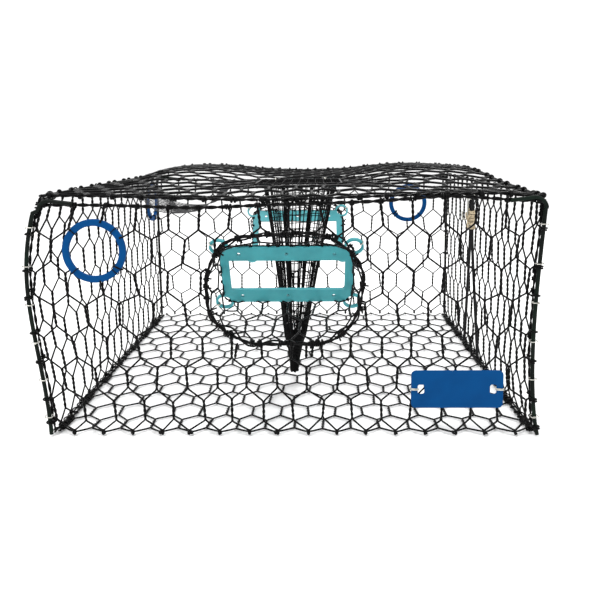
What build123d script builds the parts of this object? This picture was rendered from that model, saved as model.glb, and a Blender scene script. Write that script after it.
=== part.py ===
from build123d import *
import math
import os

# Folding wire crab trap, in millimetres, +Z up.
# The floor is the fixed body. Four wire walls are hinged on its edge wires and fold outwards.
# The lid is hinged on the left wall's top wire and carries a bait well with its own small door.
# Origin: middle of the footprint, on the surface the trap stands on. The front faces -Y.

# ---- overall sizes -------------------------------------------------------------------------
trap_width = 610.0
trap_depth = 610.0
trap_height = 305.0

# ---- wire and rod stock --------------------------------------------------------------------
mesh_wire = 1.8
edge_wire = 3.0
clip_wire = 1.8
rod_dia = 7.0

# ---- hexagon netting -----------------------------------------------------------------------
cell_pitch = 38.0
twist_length = 26.5
cell_rise = 13.5
border_band = 2.0
smallest_cell_area = 25.0

# ---- hinges --------------------------------------------------------------------------------
hinge_pitch = 4.5
hinge_clearance = 0.3
clips_per_side = 7
clip_spread = 0.86
clip_notch_play = 0.2
moving_notch_play = 0.8
corner_gap = 1.0
strap_play = 0.1
wall_inset = 1.5

# ---- corner rods ---------------------------------------------------------------------------
rod_return = 46.0
rod_bend = 8.0
rod_clip_count = 6
lid_gap = 1.0

# ---- entrances -----------------------------------------------------------------------------
mouth_width = 188.0
mouth_height = 134.0
mouth_corner = 62.0
mouth_play = 0.2
mouth_drop = 120.0
front_mouth_x = -8.0
back_mouth_x = -6.0
funnel_depth = 86.0
funnel_wall = 1.8
gate_tilt = 30.0
gate_open_width = 152.0
gate_open_height = 51.0
gate_long_bar = 22.0
gate_side_bar = 11.0
gate_thick = 4.0
gate_ring_outer = 25.0
gate_ring_wall = 3.0
gate_hole_dia = 5.0
gate_hole_spacing = 62.0
gate_corner_round = 8.0

# ---- escape rings --------------------------------------------------------------------------
ring_bore = 60.3
ring_outer = 77.0
ring_thick = 5.0
ring_round = 1.2
ring_clip_count = 4
front_ring_inset = 70.0
front_ring_drop = 72.0
back_ring_inset = 85.0
back_ring_drop = 69.0
left_ring_inset = 57.0
left_ring_drop = 58.0

# ---- identification tag --------------------------------------------------------------------
tag_width = 111.0
tag_height = 47.0
tag_thick = 2.0
tag_corner = 6.0
tag_slot_width = 8.0
tag_slot_height = 12.0
tag_slot_inset = 12.0
tag_slot_round = 2.5
tag_edge_round = 0.5
tag_inset = 105.0
tag_z = 61.0
tag_clip_wire = 1.4

# ---- lid, bait well and door ---------------------------------------------------------------
well_x = 6.0
well_y = -70.0
well_tip_x = -5.0
well_tip_y = -82.0
well_top_dia = 103.0
well_neck_dia = 28.0
well_neck_z = 62.0
well_tip_dia = 7.0
well_tip_z = 6.0
well_wall = 1.8
door_width = 124.0
door_length = 118.0
door_lift = 0.4
door_clip_spacing = 80.0
door_cell_pitch = 12.0
patch_inset = 126.0
patch_y = 0.0
patch_width = 142.0
patch_length = 150.0
patch_sag = 48.0
patch_thick = 1.8

# ---- tie-down ------------------------------------------------------------------------------
cord_dia = 5.0
cord_feet_y = -12.0
cord_feet_spacing = 98.0
cord_leg_spacing = 13.0
cord_join_drop = 105.0
cord_top_drop = 43.0
cord_join_bend = 60.0
cord_foot_gap = 1.0
jute_low_drop = 93.0
jute_height = 36.0
jute_wall = 2.0
hook_wire = 2.5
hook_eye_play = 0.7
hook_drop = 34.0
hook_reach = 9.0
hook_tip = 14.0
hook_jute_gap = 1.0

# ---- worked-out values ---------------------------------------------------------------------
mesh_half = mesh_wire / 2
edge_r = edge_wire / 2
pivot_r = edge_r - hinge_clearance
rod_r = rod_dia / 2
clip_outer_r = edge_r + clip_wire

rod_x = trap_width / 2 - rod_r - clip_wire
rod_y = trap_depth / 2 - rod_r - clip_wire
wall_x = rod_x - wall_inset
wall_y = rod_y - wall_inset
floor_wire_x = wall_x - hinge_pitch
floor_wire_y = wall_y - hinge_pitch
floor_wire_z = mesh_wire + edge_r
pivot_z = floor_wire_z
wall_low_z = pivot_z + pivot_r

side_half_y = rod_y - rod_r - clip_wire - corner_gap
front_half_x = rod_x - rod_r
lid_pivot_z = trap_height - clip_outer_r - pivot_r - door_lift - mesh_half
side_top_z = lid_pivot_z - hinge_pitch
lid_under_z = lid_pivot_z - edge_r
rod_top_z = lid_under_z - lid_gap - rod_r
front_top_z = rod_top_z - math.sqrt((rod_r + edge_r) ** 2 - wall_inset ** 2)
lid_half_x = rod_x - rod_r
lid_half_y = rod_y - rod_r

front_clip_xs = [trap_width * clip_spread * (i / (clips_per_side - 1) - 0.5) for i in range(clips_per_side)]
side_clip_ys = [trap_depth * clip_spread * (i / (clips_per_side - 1) - 0.5) for i in range(clips_per_side)]

mouth_centre_z = trap_height - mouth_drop
front_ring_x = front_ring_inset - trap_width / 2
front_ring_z = trap_height - front_ring_drop
back_ring_x = trap_width / 2 - back_ring_inset
back_ring_z = trap_height - back_ring_drop
left_ring_y = trap_depth / 2 - left_ring_inset
left_ring_z = trap_height - left_ring_drop
tag_x = trap_width / 2 - tag_inset
tag_clip_bar = tag_slot_inset - tag_slot_width / 2
patch_x = patch_inset - trap_width / 2

gate_width = gate_open_width + 2 * gate_side_bar
gate_height = gate_open_height + 2 * gate_long_bar

cord_r = cord_dia / 2
hook_r = hook_wire / 2
hook_eye_r = cord_r + hook_eye_play + hook_r
cord_x = wall_x - mesh_half - hook_eye_play - hook_r - hook_eye_r
cord_foot_x = wall_x - mesh_half - cord_r
cord_mid_y = cord_feet_y + cord_feet_spacing / 2
cord_join_z = trap_height - cord_join_drop
cord_bight_z = trap_height - cord_top_drop + cord_leg_spacing / 2
jute_low_z = trap_height - jute_low_drop

door_z = lid_pivot_z + mesh_half + door_lift + pivot_r
door_pivot_y = well_y + door_length / 2
door_clip_xs = [well_x - door_clip_spacing / 2, well_x + door_clip_spacing / 2]

FRONT = Plane(origin=(0, -wall_y, 0), x_dir=(1, 0, 0), z_dir=(0, -1, 0))
LEFT = Plane(origin=(-wall_x, 0, 0), x_dir=(0, 1, 0), z_dir=(1, 0, 0))
RIGHT = Plane(origin=(wall_x, 0, 0), x_dir=(0, 1, 0), z_dir=(1, 0, 0))


# ---- shared shapes -------------------------------------------------------------------------
def clip_polygon(points, low_x, low_y, high_x, high_y):
    """Cut a convex outline back to an upright rectangle."""
    sides = ((0, low_x, 1), (0, high_x, -1), (1, low_y, 1), (1, high_y, -1))
    for axis, limit, sign in sides:
        kept = []
        for i, here in enumerate(points):
            before = points[i - 1]
            here_in = sign * (here[axis] - limit) >= 0
            before_in = sign * (before[axis] - limit) >= 0
            if here_in != before_in:
                t = (limit - before[axis]) / (here[axis] - before[axis])
                kept.append((before[0] + t * (here[0] - before[0]), before[1] + t * (here[1] - before[1])))
            if here_in:
                kept.append(here)
        points = kept
        if not points:
            return []
    return points


def polygon_area(points):
    total = 0.0
    for i, (x, y) in enumerate(points):
        total += points[i - 1][0] * y - x * points[i - 1][1]
    return abs(total) / 2


def hexagon(x, y):
    """One open cell of the netting, with half a wire taken off each side."""
    half = cell_pitch / 2 - mesh_half
    slope = cell_rise / (cell_pitch / 2)
    drop = mesh_half * math.sqrt(1 + slope ** 2)
    tip = twist_length / 2 + cell_rise - drop
    shoulder = tip - half * slope
    return [(x - half, y - shoulder), (x, y - tip), (x + half, y - shoulder),
            (x + half, y + shoulder), (x, y + tip), (x - half, y + shoulder)]


def square(x, y):
    """One open cell of the small square netting over the bait well."""
    half = door_cell_pitch / 2 - mesh_half
    return [(x - half, y - half), (x + half, y - half), (x + half, y + half), (x - half, y + half)]


def hexagon_centres(low_x, low_y, high_x, high_y):
    row_pitch = twist_length + cell_rise
    middle_x = (low_x + high_x) / 2
    columns = int((high_x - low_x) / cell_pitch / 2) + 2
    rows = int((high_y - low_y) / row_pitch) + 2
    for row in range(rows):
        shift = cell_pitch / 2 if row % 2 else 0.0
        for column in range(-columns, columns + 1):
            yield middle_x + column * cell_pitch + shift, low_y + row * row_pitch


def square_centres(low_x, low_y, high_x, high_y):
    columns = int((high_x - low_x) / door_cell_pitch / 2) + 1
    rows = int((high_y - low_y) / door_cell_pitch / 2) + 1
    for row in range(-rows, rows + 1):
        for column in range(-columns, columns + 1):
            yield ((low_x + high_x) / 2 + column * door_cell_pitch,
                   (low_y + high_y) / 2 + row * door_cell_pitch)


def polygon_face(points):
    return Face(Wire.make_polygon([(x, y, 0) for x, y in points], close=True))


def rectangle_face(low_x, low_y, high_x, high_y):
    return polygon_face([(low_x, low_y), (high_x, low_y), (high_x, high_y), (low_x, high_y)])


def netting(low_x, low_y, high_x, high_y, openings=(), notches=(), cell=hexagon, centres=hexagon_centres):
    """A flat panel of netting, centred on its own plane.

    openings are (hole face, rim face, guard radius, x, y); notches are boxes (low x, low y, high x, high y).
    """
    whole_cells = []
    cut_cells = []
    for x, y in centres(low_x, low_y, high_x, high_y):
        points = clip_polygon(cell(x, y), low_x + border_band, low_y + border_band,
                              high_x - border_band, high_y - border_band)
        if len(points) < 3 or polygon_area(points) < smallest_cell_area:
            continue
        rims = [rim for hole, rim, guard, at_x, at_y in openings
                if math.hypot(x - at_x, y - at_y) < guard + cell_pitch]
        if rims:
            cut_cells.append((points, rims))
        else:
            whole_cells.append(points)
    outline = rectangle_face(low_x, low_y, high_x, high_y).outer_wire()
    holes = [Wire.make_polygon([(x, y, 0) for x, y in points], close=True) for points in whole_cells]
    panel = Solid.extrude(Face(outline, holes), Vector(0, 0, mesh_wire)).moved(Location((0, 0, -mesh_half)))
    tools = []
    for points, rims in cut_cells:
        piece = through(polygon_face(points))
        for rim in rims:
            piece = piece - through(rim)
        smallest = smallest_cell_area * 4 * mesh_wire
        tools.extend(solid for solid in Part(piece.wrapped).solids() if solid.volume > smallest)
    tools.extend(through(hole) for hole, rim, guard, at_x, at_y in openings)
    tools.extend(through(rectangle_face(*notch)) for notch in notches)
    if tools:
        panel = panel - tools
    return panel


def through(face):
    """A cutter that passes right through a panel of netting."""
    return Solid.extrude(face, Vector(0, 0, 4 * mesh_wire)).moved(Location((0, 0, -2 * mesh_wire)))


def rod_along(path, radius):
    """A round wire along a path of lines and arcs."""
    start = path @ 0
    section = Plane(origin=start, z_dir=path % 0) * Circle(radius)
    return sweep(section, path=path)


def straight_wire(start, end, radius):
    """A straight round wire between two points."""
    length = (Vector(*end) - Vector(*start)).length
    plane = Plane(origin=start, z_dir=Vector(*end) - Vector(*start))
    return plane * Cylinder(radius, length, align=(Align.CENTER, Align.CENTER, Align.MIN))


def link(plane, pitch, wire=clip_wire, inner_r=edge_r):
    """A closed clip round two parallel wires: flat-sided ring, one wire at the origin, one at +pitch on x."""
    ring = SlotCenterToCenter(pitch, 2 * (inner_r + wire)) - SlotCenterToCenter(pitch, 2 * inner_r)
    ring = Pos(pitch / 2, 0, -wire / 2) * extrude(ring, wire)
    return plane * ring


def strap_clip(plane, width, height, wire):
    """A closed clip bent square round a bar of the given width and height, centred on the plane."""
    inner_width = width + 2 * strap_play
    inner_height = height + 2 * strap_play
    ring = Rectangle(inner_width + 2 * wire, inner_height + 2 * wire) - Rectangle(inner_width, inner_height)
    return plane * (Pos(0, 0, -wire / 2) * extrude(ring, wire))


def save(node, *solids):
    """Write one named piece, or one group of like pieces, as its own file."""
    shapes = []
    for solid in solids:
        shapes.extend(Part(solid.wrapped).solids())
    shape = shapes[0] if len(shapes) == 1 else Compound(children=shapes)
    shape.label = node
    export_step(shape, f"parts/{node}.step")


# ---- floor ---------------------------------------------------------------------------------
def floor():
    half_x = floor_wire_x + edge_r
    half_y = floor_wire_y + edge_r
    reach = clip_outer_r + clip_notch_play
    slit = clip_wire / 2 + clip_notch_play
    notches = []
    for x in front_clip_xs:
        notches.append((x - slit, -half_y - 1, x + slit, -floor_wire_y + reach))
        notches.append((x - slit, floor_wire_y - reach, x + slit, half_y + 1))
    for y in side_clip_ys:
        notches.append((-half_x - 1, y - slit, -floor_wire_x + reach, y + slit))
        notches.append((floor_wire_x - reach, y - slit, half_x + 1, y + slit))
    save("floor_mesh", Pos(0, 0, mesh_half) * netting(-half_x, -half_y, half_x, half_y, notches=notches))

    end_x = floor_wire_x - edge_r
    end_y = floor_wire_y - edge_r
    z = floor_wire_z
    save("floor_edge_wires",
         straight_wire((-end_x, -floor_wire_y, z), (end_x, -floor_wire_y, z), edge_r),
         straight_wire((-end_x, floor_wire_y, z), (end_x, floor_wire_y, z), edge_r),
         straight_wire((-floor_wire_x, -end_y, z), (-floor_wire_x, end_y, z), edge_r),
         straight_wire((floor_wire_x, -end_y, z), (floor_wire_x, end_y, z), edge_r))

    for name, sign in (("front", -1), ("back", 1)):
        planes = [Plane(origin=(x, sign * floor_wire_y, z), x_dir=(0, sign, 0), z_dir=(1, 0, 0))
                  for x in front_clip_xs]
        save(f"{name}_hinge_clips", *[link(plane, hinge_pitch) for plane in planes])
    for name, sign in (("left", -1), ("right", 1)):
        planes = [Plane(origin=(sign * floor_wire_x, y, z), x_dir=(sign, 0, 0), z_dir=(0, 1, 0))
                  for y in side_clip_ys]
        save(f"{name}_hinge_clips", *[link(plane, hinge_pitch) for plane in planes])


def moving_notches(positions, low, high):
    """Slits that let a panel turn past the clips that hold its pivot wire."""
    slit = clip_wire / 2 + moving_notch_play
    return [(at - slit, low, at + slit, high) for at in positions]


# ---- front and back walls ------------------------------------------------------------------
def mouth_outline(grow):
    corner = mouth_corner + grow
    return RectangleRounded(mouth_width + 2 * grow, mouth_height + 2 * grow, corner)


def end_wall(name, flip, mouth_x, ring_x, ring_z, tag):
    """One end wall with its rods, mouth, funnel, gate and escape ring, built as the front one."""
    def put(node, *solids):
        if flip:
            save(f"{name}_{node}", *[mirror(solid, about=Plane.XZ) for solid in solids])
        else:
            save(f"{name}_{node}", *solids)

    # netting
    high_z = front_top_z - edge_r
    ring_hole_r = ring_outer / 2 + clip_wire + 2 * strap_play
    at_mouth = Location((mouth_x, mouth_centre_z, 0))
    at_ring = Location((ring_x, ring_z, 0))
    openings = [
        (mouth_outline(edge_r + mouth_play).face().moved(at_mouth),
         mouth_outline(edge_r + border_band).face().moved(at_mouth),
         mouth_width / 2, mouth_x, mouth_centre_z),
        (Circle(ring_hole_r).face().moved(at_ring), Circle(ring_hole_r + border_band).face().moved(at_ring),
         ring_hole_r, ring_x, ring_z)]
    notches = moving_notches(front_clip_xs, wall_low_z - 1, pivot_z + clip_outer_r + moving_notch_play)
    bend_x = rod_x - rod_bend
    bend_z = rod_top_z - rod_bend
    notches.append((-front_half_x - 1, bend_z - rod_r, -bend_x + rod_r, high_z + 1))
    notches.append((bend_x - rod_r, bend_z - rod_r, front_half_x + 1, high_z + 1))
    rod_clip_zs = [pivot_z + (bend_z - pivot_z) * (i + 0.5) / rod_clip_count for i in range(rod_clip_count)]
    rod_slit = clip_wire / 2 + clip_notch_play
    clip_reach = rod_x - rod_r - clip_wire - clip_notch_play
    for z in rod_clip_zs:
        notches.append((-front_half_x - 1, z - rod_slit, -clip_reach, z + rod_slit))
        notches.append((clip_reach, z - rod_slit, front_half_x + 1, z + rod_slit))
    if tag:
        for side in (-1, 1):
            x = tag_x + side * (tag_width / 2 - tag_slot_inset + tag_slot_width / 2 + tag_clip_bar / 2)
            half = tag_clip_bar / 2 + tag_clip_wire + clip_notch_play
            notches.append((x - half, tag_z - tag_clip_wire, x + half, tag_z + tag_clip_wire))
    put("mesh", FRONT * netting(-front_half_x, wall_low_z, front_half_x, high_z, openings, notches))

    # edge wires and corner rods
    put("bottom_wire",
        straight_wire((-front_half_x, -wall_y, pivot_z), (front_half_x, -wall_y, pivot_z), pivot_r))
    top_half = bend_x - rod_r
    put("top_wire",
        straight_wire((-top_half, -wall_y, front_top_z), (top_half, -wall_y, front_top_z), edge_r))
    for side_name, side in (("left", -1), ("right", 1)):
        path = FilletPolyline((side * rod_x, -rod_y, pivot_z), (side * rod_x, -rod_y, rod_top_z),
                              (side * (rod_x - rod_return), -rod_y, rod_top_z), radius=rod_bend)
        put(f"corner_rod_{side_name}", rod_along(path, rod_r))
    clips = []
    for z in rod_clip_zs:
        for side in (-1, 1):
            ring = extrude(Circle(rod_r + clip_wire) - Circle(rod_r), clip_wire)
            clips.append(Pos(side * rod_x, -rod_y, z - clip_wire / 2) * ring)
    put("rod_clips", *clips)

    # mouth and funnel
    mouth_plane = Plane(origin=(mouth_x, -wall_y, mouth_centre_z), x_dir=(1, 0, 0), z_dir=(0, -1, 0))
    mouth_path = (mouth_plane * mouth_outline(0)).face().outer_wire()
    put("mouth_ring", rod_along(mouth_path, edge_r))
    start_plane = mouth_plane.offset(-edge_r)
    tilt = math.radians(gate_tilt)
    gate_plane = Plane(origin=(mouth_x, -wall_y + funnel_depth, mouth_centre_z), x_dir=(1, 0, 0),
                       z_dir=(0, -math.cos(tilt), -math.sin(tilt)))
    outer = loft([start_plane * mouth_outline(edge_r), gate_plane * gate_outline(0)], ruled=True)
    inner = loft([start_plane * mouth_outline(edge_r - funnel_wall), gate_plane * gate_outline(-funnel_wall)],
                 ruled=True)
    put("funnel", outer - inner)

    # gate, with a ring at each corner for the clips
    plate = gate_outline(0) - Rectangle(gate_open_width, gate_open_height)
    corners = [(sx * gate_width / 2, sy * gate_height / 2) for sx in (-1, 1) for sy in (-1, 1)]
    for x, y in corners:
        plate += Pos(x, y) * Circle(gate_ring_outer / 2)
    for x, y in corners:
        plate -= Pos(x, y) * Circle(gate_ring_outer / 2 - gate_ring_wall)
    plate -= Rectangle(gate_open_width, gate_open_height)
    bar_y = gate_open_height / 2 + gate_long_bar / 2
    for x in (-gate_hole_spacing, 0, gate_hole_spacing):
        for y in (-bar_y, bar_y):
            plate -= Pos(x, y) * Circle(gate_hole_dia / 2)
    gate = extrude(plate, -gate_thick)
    put("gate", gate_plane * gate)
    gate_clips = []
    ring_mid = gate_ring_outer / 2 - gate_ring_wall / 2
    for x, y in corners:
        turn = math.atan2(y, x)
        at = (x + ring_mid * math.cos(turn), y + ring_mid * math.sin(turn), -gate_thick / 2)
        local = Plane(origin=at, x_dir=(math.cos(turn), math.sin(turn), 0),
                      z_dir=(-math.sin(turn), math.cos(turn), 0))
        clip = strap_clip(local, gate_ring_wall, gate_thick, clip_wire)
        gate_clips.append(gate_plane * clip)
    put("gate_clips", *gate_clips)

    escape_ring(put, FRONT, ring_x, ring_z)


def gate_outline(grow):
    return RectangleRounded(gate_width + 2 * grow, gate_height + 2 * grow, gate_corner_round + grow)


def escape_ring(put, wall_plane, x, z):
    """A round plastic escape ring set in a wall, with the clips that tie it to the netting."""
    ring = extrude(Circle(ring_outer / 2) - Circle(ring_bore / 2), ring_thick)
    ring = fillet(ring.edges(), ring_round)
    put("escape_ring", wall_plane * (Pos(x, z, -ring_thick / 2) * ring))
    band = (ring_outer - ring_bore) / 2
    middle = ring_bore / 2 + band / 2
    clips = []
    for i in range(ring_clip_count):
        turn = math.pi / 4 + 2 * math.pi * i / ring_clip_count
        local = Plane(origin=(x + middle * math.cos(turn), z + middle * math.sin(turn), 0),
                      x_dir=(math.cos(turn), math.sin(turn), 0), z_dir=(-math.sin(turn), math.cos(turn), 0))
        clips.append(wall_plane * strap_clip(local, band, ring_thick, clip_wire))
    put("ring_clips", *clips)


# ---- identification tag on the front wall --------------------------------------------------
def tag():
    slot_x = tag_width / 2 - tag_slot_inset
    plate = RectangleRounded(tag_width, tag_height, tag_corner)
    for side in (-1, 1):
        plate -= Pos(side * slot_x, 0) * RectangleRounded(tag_slot_width, tag_slot_height, tag_slot_round)
    plate = extrude(plate, tag_thick)
    plate = fillet(plate.faces().sort_by(Axis.Z)[-1].outer_wire().edges(), tag_edge_round)
    save("id_tag", FRONT * (Pos(tag_x, tag_z, mesh_half) * plate))
    clips = []
    for side in (-1, 1):
        x = tag_x + side * (slot_x + tag_slot_width / 2 + tag_clip_bar / 2)
        local = Plane(origin=(x, tag_z, mesh_half + tag_thick / 2), x_dir=(1, 0, 0), z_dir=(0, 1, 0))
        clips.append(FRONT * strap_clip(local, tag_clip_bar, tag_thick, tag_clip_wire))
    save("id_tag_clips", *clips)


# ---- left and right walls ------------------------------------------------------------------
def side_wall(name, plane, sign, openings, top_notches):
    low = wall_low_z
    high = side_top_z - edge_r
    half = side_half_y - 2 * edge_r
    notches = moving_notches(side_clip_ys, low - 1, pivot_z + clip_outer_r + moving_notch_play) + top_notches
    save(f"{name}_mesh", plane * netting(-half, low, half, high, openings, notches))
    x = sign * wall_x
    save(f"{name}_bottom_wire", straight_wire((x, -side_half_y, pivot_z), (x, side_half_y, pivot_z), pivot_r))
    save(f"{name}_top_wire",
         straight_wire((x, -side_half_y, side_top_z), (x, side_half_y, side_top_z), edge_r))
    edge_y = side_half_y - edge_r
    save(f"{name}_side_wires",
         straight_wire((x, -edge_y, low), (x, -edge_y, high), edge_r),
         straight_wire((x, edge_y, low), (x, edge_y, high), edge_r))


def left_wall():
    hole_r = ring_outer / 2 + clip_wire + 2 * strap_play
    at_ring = Location((left_ring_y, left_ring_z, 0))
    openings = [(Circle(hole_r).face().moved(at_ring), Circle(hole_r + border_band).face().moved(at_ring),
                 hole_r, left_ring_y, left_ring_z)]
    slit = clip_wire / 2 + clip_notch_play
    low = side_top_z - clip_outer_r - clip_notch_play
    top_notches = [(y - slit, low, y + slit, side_top_z) for y in side_clip_ys]
    side_wall("left", LEFT, -1, openings, top_notches)
    planes = [Plane(origin=(-wall_x, y, side_top_z), x_dir=(0, 0, 1), z_dir=(0, 1, 0)) for y in side_clip_ys]
    save("lid_hinge_clips", *[link(plane, hinge_pitch) for plane in planes])
    escape_ring(lambda node, *solids: save(f"left_{node}", *solids), LEFT, left_ring_y, left_ring_z)


# ---- tie-down on the right wall ------------------------------------------------------------
def tie_down():
    foot_z = pivot_z + clip_outer_r + cord_foot_gap
    leg = cord_leg_spacing / 2
    near_foot = (cord_foot_x, cord_feet_y, foot_z)
    far_foot = (cord_foot_x, cord_feet_y + cord_feet_spacing, foot_z)
    path = FilletPolyline(near_foot,
                          (cord_x, cord_mid_y - leg, cord_join_z), (cord_x, cord_mid_y - leg, cord_bight_z),
                          (cord_x, cord_mid_y + leg, cord_bight_z), (cord_x, cord_mid_y + leg, cord_join_z),
                          far_foot, radius=[cord_join_bend, leg * 0.98, leg * 0.98, cord_join_bend])
    save("tie_down_cord", rod_along(path, cord_r))

    # local x runs along the wall and local -y points at the netting
    to_netting = wall_x - mesh_half - cord_x
    band = SlotCenterToCenter(cord_leg_spacing, cord_dia + 2 * jute_wall)
    band += Pos(0, -to_netting / 2) * Rectangle(cord_leg_spacing, to_netting)
    band -= Pos(-leg, 0) * Circle(cord_r)
    band -= Pos(leg, 0) * Circle(cord_r)
    band = extrude(band, jute_height)
    local = Plane(origin=(cord_x, cord_mid_y, jute_low_z), x_dir=(0, 1, 0), z_dir=(0, 0, 1))
    save("jute_loop", local * band)

    # the hook hangs from the bight of the cord, in front of the jute binding
    eye = Pos(cord_x, cord_mid_y, cord_bight_z) * (Rot(90, 0, 0) * Torus(hook_eye_r, hook_r))
    shank_x = cord_x - cord_r - jute_wall - hook_jute_gap - hook_r
    low_z = cord_bight_z - hook_eye_r - hook_drop
    tip_x = shank_x - hook_reach
    path = FilletPolyline((cord_x - hook_eye_r, cord_mid_y, cord_bight_z),
                          (shank_x, cord_mid_y, cord_bight_z - hook_eye_r),
                          (shank_x, cord_mid_y, low_z), (tip_x, cord_mid_y, low_z),
                          (tip_x, cord_mid_y, low_z + hook_tip),
                          radius=[hook_wire, hook_reach * 0.48, hook_reach * 0.48])
    save("tie_down_hook", eye + rod_along(path, hook_r))


# ---- lid -----------------------------------------------------------------------------------
def lid():
    low_x = -wall_x + pivot_r
    high_x = lid_half_x - edge_r
    half_y = lid_half_y - edge_r
    z = lid_pivot_z
    hole_r = well_top_dia / 2 - edge_r
    at_well = Location((well_x, well_y, 0))
    openings = [(Circle(hole_r).face().moved(at_well), Circle(hole_r + border_band).face().moved(at_well),
                 hole_r, well_x, well_y)]
    slit = clip_wire / 2 + moving_notch_play
    clip_reach_x = -wall_x + clip_outer_r + moving_notch_play
    notches = [(low_x - 1, y - slit, clip_reach_x, y + slit) for y in side_clip_ys]
    for x in door_clip_xs:
        play = clip_wire / 2 + clip_notch_play
        reach = clip_outer_r + clip_notch_play
        notches.append((x - play, door_pivot_y - reach, x + play, door_pivot_y + reach))
    save("lid_mesh", Pos(0, 0, z) * netting(low_x, -half_y, high_x, half_y, openings, notches))
    save("lid_hinge_wire", straight_wire((-wall_x, -half_y, z), (-wall_x, half_y, z), pivot_r))
    save("lid_edge_wires",
         straight_wire((low_x, -lid_half_y, z), (lid_half_x, -lid_half_y, z), edge_r),
         straight_wire((low_x, lid_half_y, z), (lid_half_x, lid_half_y, z), edge_r),
         straight_wire((lid_half_x, -half_y, z), (lid_half_x, half_y, z), edge_r))

    # bait well: a cone of netting under the hole in the lid, tied shut at its tip
    under = z - mesh_half
    rim_z = under - edge_r
    rim_r = well_top_dia / 2
    save("bait_well_rim", Pos(well_x, well_y, rim_z) * Torus(rim_r, edge_r))
    top_z = rim_z - edge_r
    share = (top_z - well_neck_z) / (top_z - well_tip_z)
    neck_x = well_x + (well_tip_x - well_x) * share
    neck_y = well_y + (well_tip_y - well_y) * share
    top = Location((well_x, well_y, top_z))
    neck = Location((neck_x, neck_y, well_neck_z))
    outer = loft([top * Circle(rim_r), neck * Circle(well_neck_dia / 2)], ruled=True)
    inner = loft([top * Circle(rim_r - well_wall), neck * Circle(well_neck_dia / 2 - well_wall)], ruled=True)
    save("bait_well", outer - inner)
    tip = Location((well_tip_x, well_tip_y, well_tip_z))
    save("bait_well_tie",
         loft([neck * Circle(well_neck_dia / 2), tip * Circle(well_tip_dia / 2)], ruled=True))

    # net patch: a shallow sling of fine net under the left half of the lid
    sling = patch_arc(0) - patch_arc(patch_thick)
    sling = extrude(sling, patch_length)
    plane = Plane(origin=(patch_x, patch_y + patch_length / 2, under), x_dir=(1, 0, 0), z_dir=(0, -1, 0))
    save("lid_net_patch", plane * sling)

    # bar and clips for the small door
    save("bait_door_bar", straight_wire((well_x - door_width / 2, door_pivot_y, under - edge_r),
                                        (well_x + door_width / 2, door_pivot_y, under - edge_r), edge_r))
    pitch = door_z - (under - edge_r)
    planes = [Plane(origin=(x, door_pivot_y, under - edge_r), x_dir=(0, 0, 1), z_dir=(1, 0, 0))
              for x in door_clip_xs]
    save("bait_door_clips", *[link(plane, pitch) for plane in planes])


def patch_arc(inset):
    """Section of the net sling: the part of a disc that lies below the lid."""
    half = patch_width / 2
    radius = (half ** 2 + patch_sag ** 2) / (2 * patch_sag)
    disc = Pos(0, radius - patch_sag) * Circle(radius - inset)
    return disc & (Pos(0, -patch_sag) * Rectangle(2 * patch_width, 2 * patch_sag))


# ---- bait door -----------------------------------------------------------------------------
def bait_door():
    low_x = well_x - door_width / 2 + pivot_r
    high_x = well_x + door_width / 2 - pivot_r
    low_y = well_y - door_length / 2 + pivot_r
    high_y = door_pivot_y - pivot_r
    reach = clip_outer_r + moving_notch_play
    slit = clip_wire / 2 + moving_notch_play
    notches = [(x - slit, door_pivot_y - reach, x + slit, high_y + 1) for x in door_clip_xs]
    panel = netting(low_x, low_y, high_x, high_y, notches=notches, cell=square, centres=square_centres)
    save("bait_door_mesh", Pos(0, 0, door_z) * panel)
    west = low_x - pivot_r
    east = high_x + pivot_r
    front = low_y - pivot_r
    save("bait_door_edge_wire",
         straight_wire((west, door_pivot_y, door_z), (east, door_pivot_y, door_z), pivot_r),
         straight_wire((west, front, door_z), (east, front, door_z), pivot_r),
         straight_wire((west, low_y, door_z), (west, high_y, door_z), pivot_r),
         straight_wire((east, low_y, door_z), (east, high_y, door_z), pivot_r))


os.makedirs("parts", exist_ok=True)
floor()
end_wall("front", False, front_mouth_x, front_ring_x, front_ring_z, True)
end_wall("back", True, back_mouth_x, back_ring_x, back_ring_z, False)
tag()
left_wall()
side_wall("right", RIGHT, 1, [], [])
tie_down()
lid()
bait_door()
print("wall pivot", round(wall_x, 3), round(wall_y, 3), round(pivot_z, 3))
print("lid pivot", round(-wall_x, 3), round(lid_pivot_z, 3))
print("door pivot", round(door_pivot_y, 3), round(door_z, 3))
print("hook pivot", round(cord_x, 3), round(cord_mid_y, 3), round(cord_bight_z, 3))
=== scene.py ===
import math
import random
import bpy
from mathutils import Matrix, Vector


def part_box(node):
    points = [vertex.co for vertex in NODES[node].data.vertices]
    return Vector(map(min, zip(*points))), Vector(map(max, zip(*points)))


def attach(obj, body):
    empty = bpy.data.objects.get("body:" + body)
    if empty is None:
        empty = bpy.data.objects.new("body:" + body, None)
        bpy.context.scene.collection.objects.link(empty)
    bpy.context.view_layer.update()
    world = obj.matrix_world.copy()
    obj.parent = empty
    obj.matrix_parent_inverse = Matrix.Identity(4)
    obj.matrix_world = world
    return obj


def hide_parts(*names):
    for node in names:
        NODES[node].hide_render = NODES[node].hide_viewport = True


bl_info = {
    "name": "Folding crab trap",
    "version": (1, 0, 0),
    "blender": (4, 5, 0),
    "location": "View3D > Sidebar > Crab Trap",
    "description": "Builds the netting, fittings and finishes of a folding crab trap around its frame",
    "category": "Object",
}

import bpy
import numpy as np
from bpy.props import FloatProperty, FloatVectorProperty, PointerProperty
from mathutils import Matrix, Vector

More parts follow.
